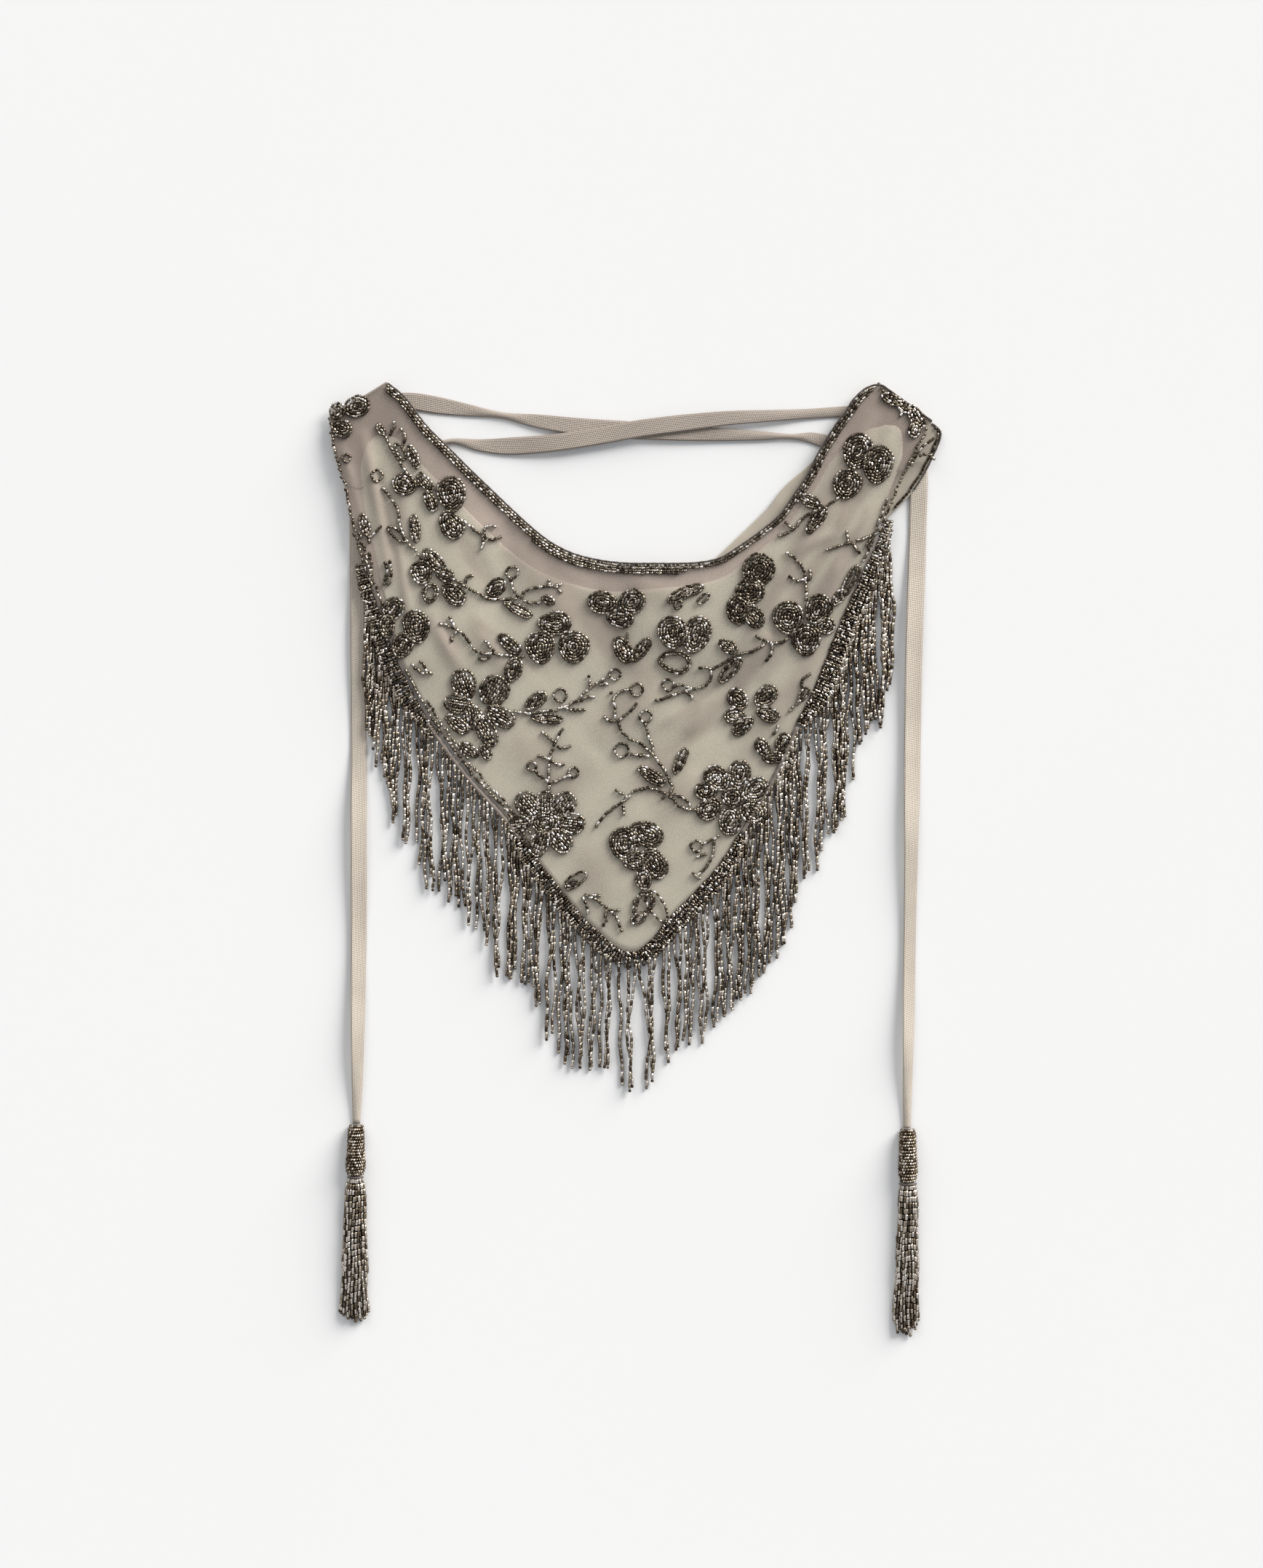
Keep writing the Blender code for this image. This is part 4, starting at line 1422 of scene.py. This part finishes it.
class Beading:
    """Beads that are joined into one piece: where each lies, which way it points, its size and its tone."""

    def __init__(self, seed):
        self.random = random.Random(seed)
        self.rows = []

    def tone(self):
        """Most beads are dark to middling, and some bright."""
        bright = self.random.random() < BRIGHT_SHARE
        return self.random.uniform(*(BRIGHT_TONES if bright else DARK_TONES))

    def bead(self, start, end, radius=BEAD_RADIUS, dim=1.0, shape=TUBE):
        """A bead between two points."""
        self.rows.append((*start, *end, radius, *shape, self.tone() * dim))

    def ball(self, place):
        """A small round bead."""
        x, y, z = place
        self.bead((x, y + BALL_RADIUS, z), (x, y - BALL_RADIUS, z), BALL_RADIUS, shape=BALL)

    def chain(self, points, pitch=BEAD_PITCH, gap=0.14, wander=0.12, radius=BEAD_RADIUS, dim=1.0):
        """Beads end to end along a line of points, each already at the height of its middle."""
        even = resample(points, pitch)
        shift = self.random.gauss
        for start, end in zip(even, even[1:], strict=False):
            aside = np.array([shift(0, wander), shift(0, wander), abs(shift(0, wander / 2))])
            twist = np.array([shift(0, wander), shift(0, wander), 0])
            trim = (end - start) * gap / 2 / max(1e-6, np.linalg.norm(end - start))
            self.bead(start + trim + aside - twist, end - trim + aside + twist, radius, dim)

    def strand(self, points, radius, **how):
        """A chain of long beads that ends in a round one."""
        self.chain(points, STRAND_PITCH, radius=radius, **how)
        self.ball(points[-1] - np.array([0, BALL_RADIUS, 0]))

    def on_cloth(self, points, above=0.0, **how):
        """A chain of beads lying on the net."""
        points = resample(points, CLOTH_SAMPLE)
        x, y = points[:, 0], points[:, 1]
        height = NET_HEIGHT + BEAD_RADIUS * BEAD_REST + cloth_lift(x, y) + above
        self.chain(np.stack([x, y, height], axis=1), **how)

    def petal(self, petal, wander=0.13):
        """An oval of beads, narrower at its near end, filled ring within ring or with rows along it."""
        centre = np.array(px(petal.px_x, petal.px_y))
        angle = math.radians(petal.angle)
        along = np.array([math.cos(angle), math.sin(angle)])
        aside = np.array([-along[1], along[0]])
        half_length = petal.length / 2 - PETAL_INSET
        half_width = petal.width / 2 - PETAL_INSET
        turn = np.linspace(0, 2 * np.pi, 49)
        oval_x, oval_y = np.cos(turn)[:, None], ((1 + PETAL_TAPER * np.cos(turn)) * np.sin(turn))[:, None]
        how = {"wander": wander, "dim": flower_tone(petal)}
        if petal.rings in (FILLED, ROWED):
            self.fill_petal(centre, along, aside, half_length - 1, half_width - 1, how["dim"])
        for _ in range(1 if petal.rings == ROWED else petal.rings):
            ring = centre + oval_x * half_length * along + oval_y * half_width * aside
            self.on_cloth(ring, above=self.random.uniform(*RING_RISE), **how)
            half_length -= PETAL_STEP
            half_width -= PETAL_STEP
            if half_width < 0.7:
                break
        if petal.rings == FILLED and half_length > 0.6:
            reach = along * half_length
            self.on_cloth([centre - reach, centre + reach], above=ROW_RISE, **how)
        if petal.rings == ROWED:
            for out in np.arange(-half_width + 0.4, half_width, PETAL_STEP):
                reach = along * half_length * math.sqrt(max(0.05, 1 - (out / half_width) ** 2))
                middle = centre + aside * out
                self.on_cloth([middle - 1.1 * reach, middle + reach], above=ROW_RISE, **how)

    def fill_petal(self, centre, along, aside, half_length, half_width, dim):
        """Beads laid every way in an oval, so that the cloth doesn't show between its rings."""
        if min(half_length, half_width) <= 0:
            return
        chance = self.random
        for _ in range(round(math.pi * half_length * half_width / FILL_AREA)):
            out, turn = math.sqrt(chance.random()), chance.uniform(0, 2 * math.pi)
            middle = centre + along * half_length * out * math.cos(turn)
            middle = middle + aside * half_width * out * math.sin(turn)
            way = chance.uniform(0, math.pi)
            reach = np.array([math.cos(way), math.sin(way)]) * BEAD_LENGTH / 2
            self.on_cloth([middle - reach, middle + reach], above=FILL_RISE, wander=0.0, gap=0.0, dim=dim)

    def piece(self, name, material, *nodes):
        """The beads as one mesh: six-sided tubes with bevelled ends, each facet with its own tone, which also
        holds painted light and shade.
        """
        rows = np.array(self.rows, float)
        start, end = rows[:, :3], rows[:, 3:6]
        radius, bevel, end_scale, tone = (rows[:, k, None] for k in (6, 7, 8, 9))
        length = np.linalg.norm(end - start, axis=1, keepdims=True)
        along = (end - start) / length
        side = np.cross(along, UP)
        flat = np.linalg.norm(side, axis=1, keepdims=True)
        side = np.where(flat > 1e-3, side / np.maximum(flat, 1e-3), [1.0, 0.0, 0.0])
        up = np.cross(side, along)
        spin = np.random.default_rng(len(rows))
        roll = np.pi / 2 - np.pi / BEAD_SIDES + spin.uniform(-BEAD_ROLL, BEAD_ROLL, (len(rows), 1))
        turn = roll + np.arange(BEAD_SIDES) * 2 * np.pi / BEAD_SIDES
        ring = side[:, None] * np.cos(turn)[..., None] + up[:, None] * np.sin(turn)[..., None]
        bevel = np.minimum(bevel, length * LONGEST_BEVEL)
        near, far = start + along * bevel, end - along * bevel
        stops = ((start, end_scale), (near, 1.0), (far, 1.0), (end, end_scale))
        rings = [middle[:, None] + ring * (radius * scale)[..., None] for middle, scale in stops]
        mesh = bead_mesh(name, np.stack(rings, axis=1).reshape(-1, 3) * MM, len(rows))
        # Painted light and shade: upper facets lighter, side facets darker
        painted_top_light = smooth(np.sin(turn + np.pi / BEAD_SIDES) * 1.2)
        body = tone * (PAINTED_SIDE_SHADE + (1 - PAINTED_SIDE_SHADE) * painted_top_light) * spin.uniform(*FACET_TONES, painted_top_light.shape)
        # Painted glints on some facets
        body += np.where(spin.random(body.shape) < PAINTED_GLINT_SHARE, PAINTED_GLINT, 0.0)
        # Painted shade on the bevels and in the holes at the ends, lighter on the bevels of round beads
        shade = np.where(end_scale < TUBE.end_share, ROUND_END_SHADE, 1.0)
        shaded_bevels = tone * shade * spin.uniform(*PAINTED_BEVEL_SHADES, (len(rows), 2 * BEAD_SIDES))
        ends = tone * PAINTED_HOLE_SHADE * np.ones((len(rows), 2))
        bands = [shaded_bevels[:, :BEAD_SIDES], body, shaded_bevels[:, BEAD_SIDES:], ends]
        add_values(mesh, "tone", "FACE", np.clip(np.concatenate(bands, axis=1), 0, 1))
        return add_piece(name, mesh, material, "beads", *nodes)


def add_tube(name, rings, material, slot):
    """A closed tube through rings of points, capped at both ends."""
    mesh = grid_mesh(name, rings)
    shape = bmesh.new()
    shape.from_mesh(mesh)
    bmesh.ops.remove_doubles(shape, verts=shape.verts, dist=1e-7)
    bmesh.ops.holes_fill(shape, edges=shape.edges)
    bmesh.ops.recalc_face_normals(shape, faces=shape.faces)
    shape.to_mesh(mesh)
    shape.free()
    return add_piece(name, mesh, material, slot)


def add_roll(name, points, radius, material, slot="facing"):
    """A thin round roll of cloth or thread along a line of points."""
    points = resample(points, ROLL_STEP)
    along = unit(np.gradient(points, axis=0))
    side = unit(np.cross(along, UP))
    up = np.cross(side, along)
    turn = np.linspace(0, 2 * np.pi, 9)
    lumps = 1 + ROLL_LUMPS * np.sin(np.arange(len(points)) * 1.9)[:, None]
    rows = (
        points[:, None]
        + side[:, None] * (radius * lumps * np.cos(turn))[..., None]
        + up[:, None] * (radius * lumps * np.sin(turn))[..., None]
    )
    return add_tube(name, rows, material, slot)


def add_neck_edging(material, roll_material):
    """Rows of beads along the neckline, outside them a dark rolled edge that goes on along the folds."""
    beading = Beading(11)
    for row in NECK_ROWS:
        line = neck_line(np.arange(row.first, row.last, LINE_STEP), row.inset)
        beading.on_cloth(line, wander=0.1, gap=0.2)
    fold = across(np.full(20, LAST_STATION - 0.09), np.linspace(0.06, 0.9, 20))
    beading.on_cloth(fold, wander=0.35, gap=0.5, dim=0.75)
    piece = beading.piece("neck_beads", material, "neck_edging")
    neck = neck_line(np.arange(0, LAST_STATION + 0.01, LINE_STEP), -0.1)[:-1]
    fold = across(np.full(30, LAST_STATION), np.linspace(0.07, 1.0, 30)) + np.array(FOLD_EDGE)
    line = resample(np.concatenate([neck, fold]), ROLL_STEP)
    line[1:-1] = (line[:-2] + 2 * line[1:-1] + line[2:]) / 4
    height = NET_HEIGHT + NET_THICKNESS + cloth_lift(line[:, 0], line[:, 1])
    roll = add_roll("neck_roll", np.column_stack([line, height]), NECK_ROLL_RADIUS, roll_material)
    wing = between(RIGHT_END, np.arange(0.1, 3.4, LINE_STEP))[:, 2:]
    wing = np.column_stack([wing, np.full(len(wing), FOLDED_END_HEIGHT + 0.2)])
    return piece, roll, add_roll("wing_roll", wing, WING_ROLL_RADIUS, roll_material)


def add_flowers(name, petals, material, seed):
    beading = Beading(seed)
    for petal in petals:
        beading.petal(petal)
    return beading.piece(name, material)


def add_sprigs(material):
    """Leaves, rings and stems, and the lines of beads along the edges that have no wrap."""
    beading = Beading(31)
    for leaf in LEAVES:
        beading.petal(leaf, wander=0.15)
    turn = np.linspace(0, 2 * np.pi, 33)
    for ring in RINGS:
        x, y = px(ring.px_x, ring.px_y)
        circle = np.stack([x + ring.radius * np.cos(turn), y + ring.radius * np.sin(turn)], axis=1)
        beading.on_cloth(circle, pitch=RING_PITCH, wander=0.12)
    for stem in STEMS:
        line = bend(px(*stem[:2]), px(*stem[2:4]), px(*stem[4:]))
        beading.on_cloth(line, wander=0.2, radius=STEM_RADIUS, dim=1.1)
    for edge in EDGE_LINES:
        line = hem_line(np.arange(edge.first, edge.last, LINE_STEP), edge.inset)
        beading.on_cloth(line, wander=0.3, gap=0.3)
    wing = between(RIGHT_END, np.arange(0.5, 4.2, LINE_STEP))
    line = wing[:, 2:] + (wing[:, :2] - wing[:, 2:]) * WING_INSET
    height = np.full(len(line), FOLDED_END_HEIGHT + BEAD_RADIUS)
    beading.chain(np.column_stack([line, height]), wander=0.15, gap=0.3, dim=0.6)
    return beading.piece("sprig_beads", material)


def add_hem_wrap(name, node, first, last, material, seed):
    """Beads sewn across the hem in short rows, in two heaped layers."""
    beading = Beading(seed)
    chance = beading.random
    stations = np.arange(first, last + 0.001, HEM_STEP)
    place, outward, width = wrap_line(stations)
    steps = line_lengths(place)
    for at in np.arange(0.4, steps[-1], WRAP_STEP):
        k = int(np.searchsorted(steps, at))
        if width[k] < THIN_WRAP and first + 1 < stations[k] < last - 1:
            continue
        rows = max(2, round((width[k] + 1.0) / BEAD_PITCH))
        lean = chance.gauss(0, WRAP_LEAN)
        for row in range(rows):
            for heap in range(2):
                reach = -0.6 + (row + 0.5) * (width[k] + 0.6) / rows + chance.uniform(-0.5, 0.5)
                middle = place[k] + outward[k] * reach
                turn = lean + chance.gauss(0, WRAP_LEAN)
                c, s = math.cos(turn), math.sin(turn)
                x, y = outward[k]
                along = np.array([x * c - y * s, x * s + y * c]) * BEAD_LENGTH / 2
                height = lift(*middle) + WRAP_HEIGHT + heap * WRAP_HEAP + chance.uniform(0, 0.4)
                tilt = chance.uniform(-WRAP_TILT, WRAP_TILT)
                beading.bead((*(middle - along), height - tilt), (*(middle + along), height + tilt))
    return beading.piece(name, material, node)


def add_hem_rolls(material):
    """Where the hem has no wrap, its net is rolled outward over the tops of the strands."""
    rolls = []
    for number, hem in enumerate(BARE_HEMS, 1):
        place, outward, _ = wrap_line(np.arange(hem.first, hem.last, LINE_STEP))
        line = place + outward * HEM_ROLL_OUT
        height = lift(line[:, 0], line[:, 1]) + HEM_ROLL_HEIGHT
        line = np.column_stack([line, height])
        rolls.append(add_roll(f"hem_roll_{number}", line, HEM_ROLL_RADIUS, material))
    return rolls


def strand_tops(edge, stations, length, chance):
    """Where each strand is sewn on, the middle of the bundle it is drawn to, and its number in it."""
    at = 0.6
    bundle = []
    tops = []
    while at < length[-1]:
        k = int(np.searchsorted(length, at))
        bundle.append(edge[k])
        near_tip = math.exp(-(((stations[k] - TIP_STATION) / 3) ** 2))
        spacing = SIDE_STRAND_SPACING + (TIP_STRAND_SPACING - SIDE_STRAND_SPACING) * near_tip
        at += spacing * chance.uniform(*SPACING_SHARES)
        if len(bundle) >= chance.choice(BUNDLES) or at >= length[-1]:
            middle = np.mean([top[0] for top in bundle])
            tops += [(*top, middle, layer) for layer, top in enumerate(bundle)]
            bundle = []
    return tops


def add_fringe(name, node, first, last, material, seed):
    """Strands of beads that hang from the wrap, drawn together in bundles and each ending in a round bead."""
    beading = Beading(seed)
    chance = beading.random
    stations = np.arange(first, last + 0.001, HEM_STEP)
    place, outward, width = wrap_line(stations)
    edge = place + outward * np.maximum(0.5, width - 2.0)[:, None]
    tips = np.array([px(*tip) for tip in FRINGE_TIPS])
    for top_x, top_y, middle, layer in strand_tops(edge, stations, line_lengths(place), chance):
        tip_y = np.interp(top_x, tips[:, 0], tips[:, 1]) + chance.uniform(*TIP_RAGGED)
        share = np.linspace(0, 1, max(2, round((top_y - tip_y) / 2)))
        y = top_y + (tip_y - top_y) * share
        drawn = (middle - top_x) * chance.uniform(*BUNDLE_DRAWN) * smooth(share * 1.6)
        phase, other = chance.uniform(0, 6.3), chance.uniform(0, 6.3)
        wiggle = FINE_WIGGLE * np.sin(y / 4.6 + phase) + BROAD_WIGGLE * np.sin(y / 15 + other)
        x = top_x + drawn + (wiggle - wiggle[0]) * smooth(share * 3)
        low = 1.0 + OVER_RIBBON * smooth((OVER_RIBBON_X - x) / 3) + STRAND_LAYER * (layer % 3)
        raised = lift(x, y)
        fall = smooth(share * 5)
        z = (STRAND_TOP + raised) * (1 - fall) + (low + 0.6 * raised) * fall
        line = np.stack([x, y, z], axis=1)
        beading.strand(line, chance.uniform(*STRAND_RADII), wander=0.12, dim=FRINGE_TONE)
    return beading.piece(name, material, node)


def add_tassel_head(side, sections, material, core_material, seed):
    """Rows of round beads over a dark core."""
    beading = Beading(seed)
    chance = beading.random
    table = between(sections, np.linspace(0, len(sections) - 1, TASSEL_ROWS))
    span = table[0, 1] - table[-1, 1]
    for count, row in enumerate(np.arange(0.8, span - 0.4, HEAD_ROW_STEP)):
        at = -(table[0, 1] - row)
        x, y, half, height = (np.interp(at, -table[:, 1], column) for column in table.T)
        for share in np.linspace(0.04, 0.92, HEAD_BEADS_AROUND) + 0.04 * (count % 2):
            turn = math.pi * share
            c, s = math.cos(turn), math.sin(turn)
            tangent = np.array([-half * s, chance.uniform(-2, 2), height * c])
            tangent *= HEAD_BEAD_REACH / np.linalg.norm(tangent)
            rise = max(0.85 + abs(tangent[2]), (height - 0.7) * s)
            middle = np.array([x + (half - 0.5) * c, y, rise])
            beading.bead(middle - tangent, middle + tangent, HEAD_BEAD_RADIUS, HEAD_TONE, ROUND)
    head = beading.piece(f"tassel_head_beads_{side}", material, f"tassel_head_{side}")
    turn = np.linspace(0, 2 * np.pi, 17)
    x, y, half, height = (table[2:-2:3, k, None] for k in range(4))
    core_x = x + (half - 1.1) * np.cos(turn)
    core_z = 0.45 * height + (0.45 * height - 0.4) * np.sin(turn)
    rings = np.stack([core_x, y + 0 * core_x, core_z], axis=-1)
    return [head, add_tube(f"tassel_core_{side}", rings, core_material, "beads")]


def add_tassel_binding(side, waist, material):
    """A turn of thread over the waist of a tassel."""
    turn = np.linspace(0, np.pi, 25)
    x = waist.x + (waist.half_width + 0.2) * np.cos(turn)
    z = np.maximum(0.75, (waist.height + 0.1) * np.sin(turn))
    arch = np.column_stack([x, np.full(len(turn), waist.y), z])
    return add_roll(f"tassel_binding_{side}", arch, BINDING_RADIUS, material, "ribbon")


def add_tassel_skirt(side, sections, material, seed):
    """Strands of beads in layers, that end along an uneven line."""
    beading = Beading(seed)
    chance = beading.random
    table = between(sections, np.linspace(0, len(sections) - 1, TASSEL_ROWS))
    table[:, 2] = np.maximum.accumulate(table[:, 2])
    for layer in SKIRT_LAYERS:
        for k in range(layer.strands):
            turn = math.pi * (k + 0.5 + chance.uniform(-0.2, 0.2)) / layer.strands
            last = SKIRT_ROWS + round(SKIRT_MORE_ROWS * math.sin(turn) ** 2 * chance.uniform(0.2, 1.0))
            x, y, half, height = table[:last].T
            wiggle = SKIRT_WIGGLE * np.sin(y / 5 + chance.uniform(0, 6)) * smooth((y[0] - y) / 20)
            x = x + (half - 0.8) * layer.out * math.cos(turn) + wiggle
            z = np.maximum(0.9, (height - 0.9) * (0.25 + 0.75 * layer.out) * math.sin(turn))
            beading.strand(np.stack([x, y, z], axis=1), SKIRT_RADIUS, wander=0.1, dim=SKIRT_TONE)
    return beading.piece(f"tassel_skirt_beads_{side}", material, f"tassel_skirt_{side}")


def add_tassel(side, head, skirt, material, thread, seed):
    """A bead-wrapped head, bound with thread over a skirt of bead strands."""
    return [
        *add_tassel_head(side, head, material, thread, seed),
        add_tassel_binding(side, skirt[0], thread),
        add_tassel_skirt(side, skirt, material, seed + 1),
    ]


def add_camera():
    """Straight above the photograph's middle, so that its height is the photograph's."""
    data = bpy.data.cameras.new("camera")
    data.lens = LENS
    data.sensor_width = SENSOR
    data.clip_start = 0.05
    camera = bpy.data.objects.new("camera", data)
    x, y = px(PHOTO_WIDTH / 2, PHOTO_HEIGHT / 2)
    distance = PHOTO_HEIGHT * MM_PER_PIXEL * LENS / SENSOR
    camera.location = (x * MM, y * MM, distance * MM)
    bpy.context.scene.collection.objects.link(camera)
    bpy.context.scene.camera = camera


def add_light(row):
    """A wide soft light from far away."""
    data = bpy.data.lights.new(row.name, "SUN")
    data.angle = math.radians(row.spread)
    data.energy = row.strength
    data.color = row.colour
    light = bpy.data.objects.new(row.name, data)
    turn, rise = math.radians(row.azimuth), math.radians(row.elevation)
    place = Vector((math.cos(turn) * math.cos(rise), math.sin(turn) * math.cos(rise), math.sin(rise)))
    light.location = place
    light.rotation_euler = (-place).to_track_quat("-Z", "Y").to_euler()
    bpy.context.scene.collection.objects.link(light)


def add_studio():
    """A pale table, a low soft light from the upper right and an even pale sky."""
    material, tree, shader = new_material("table", roughness=0.9)
    shader.inputs["Specular IOR Level"].default_value = 0.1
    base = tone_ramp(tree, noise(tree, object_place(tree), 3.0), FLOOR_PALE, (0.3, 1.0), (0.7, 0.995))
    tree.links.new(base, shader.inputs["Base Color"])
    mesh = bpy.data.meshes.new("table")
    corners = [(x * FLOOR_HALF, y * FLOOR_HALF, 0) for x, y in ((-1, -1), (1, -1), (1, 1), (-1, 1))]
    mesh.from_pydata(corners, [], [(0, 1, 2, 3)])
    mesh.materials.append(material)
    floor = bpy.data.objects.new("table", mesh)
    bpy.context.scene.collection.objects.link(floor)
    for row in STUDIO_LIGHTS:
        add_light(row)
    world = bpy.data.worlds.new("studio")
    world.use_nodes = True
    sky = world.node_tree.nodes["Background"]
    sky.inputs["Color"].default_value = (*SKY_PALE, 1)
    sky.inputs["Strength"].default_value = SKY_STRENGTH
    bpy.context.scene.world = world
    bpy.context.scene.view_settings.view_transform = "Standard"


add_camera()

ribbon = ribbon_material("ribbon", RIBBON_TAUPE, RIBBON_SHADE)
beads = bead_material("beads", BEAD_TONES)
strands = bead_material("strands", STRAND_TONES)
dark_thread = thread_material("dark_thread", ROLL_DARK)

tie_left, path_left = add_ribbon("ribbon_to_left", "tie_to_left", TIE_TO_LEFT, ribbon, 1.0)
tie_right, path_right = add_ribbon("ribbon_to_right", "tie_to_right", TIE_TO_RIGHT, ribbon, 2.5)
tassel_left = add_tassel("left", LEFT_HEAD, LEFT_SKIRT, strands, dark_thread, 61)
tassel_right = add_tassel("right", RIGHT_HEAD, RIGHT_SKIRT, strands, dark_thread, 71)

net = add_net(
    net_material("net", NET_TAUPE, hole=0.07, thread=0.29, bunched_and_crease_shade=0.34),
    net_material("net_lined", WING_ECRU, hole=0.95, thread=0.99, bunched_and_crease_shade=0.0),
    net_material("net_folded", HEM_MAUVE, hole=0.97, thread=0.99, bunched_and_crease_shade=0.0),
)
lining = add_lining(cloth_material("lining", LINING_ECRU, FACING_MAUVE, 0.8, 20, 0.8, 0.2))
facings = add_facings(cloth_material("facing", FACING_MAUVE, CORNER_MAUVE, 1.0, 32, 0.85, 0.3))

left_petals = [petal for petal in FLOWERS if petal.px_x < ORIGIN_PX_X]
right_petals = [petal for petal in FLOWERS if petal.px_x >= ORIGIN_PX_X]
rolled_net = cloth_material("rolled_net", HEM_MAUVE, HEM_MAUVE, 1.0, 32, 0.85, 0.3)
on_net = [
    *add_neck_edging(beads, dark_thread),
    add_flowers("flower_beads_left", left_petals, beads, 21),
    add_flowers("flower_beads_right", right_petals, beads, 22),
    add_sprigs(beads),
    *add_hem_rolls(rolled_net),
    add_hem_wrap("hem_beads_left", "hem_wrap_left", WRAP_START, TIP_STATION, beads, 41),
    add_hem_wrap("hem_beads_right", "hem_wrap_right", TIP_STATION, FRINGE_END, beads, 43),
    add_fringe("fringe_beads_left", "fringe_left", FRINGE_START, TIP_STATION, strands, 51),
    add_fringe("fringe_beads_right", "fringe_right", TIP_STATION, FRINGE_END, strands, 53),
]

add_studio()
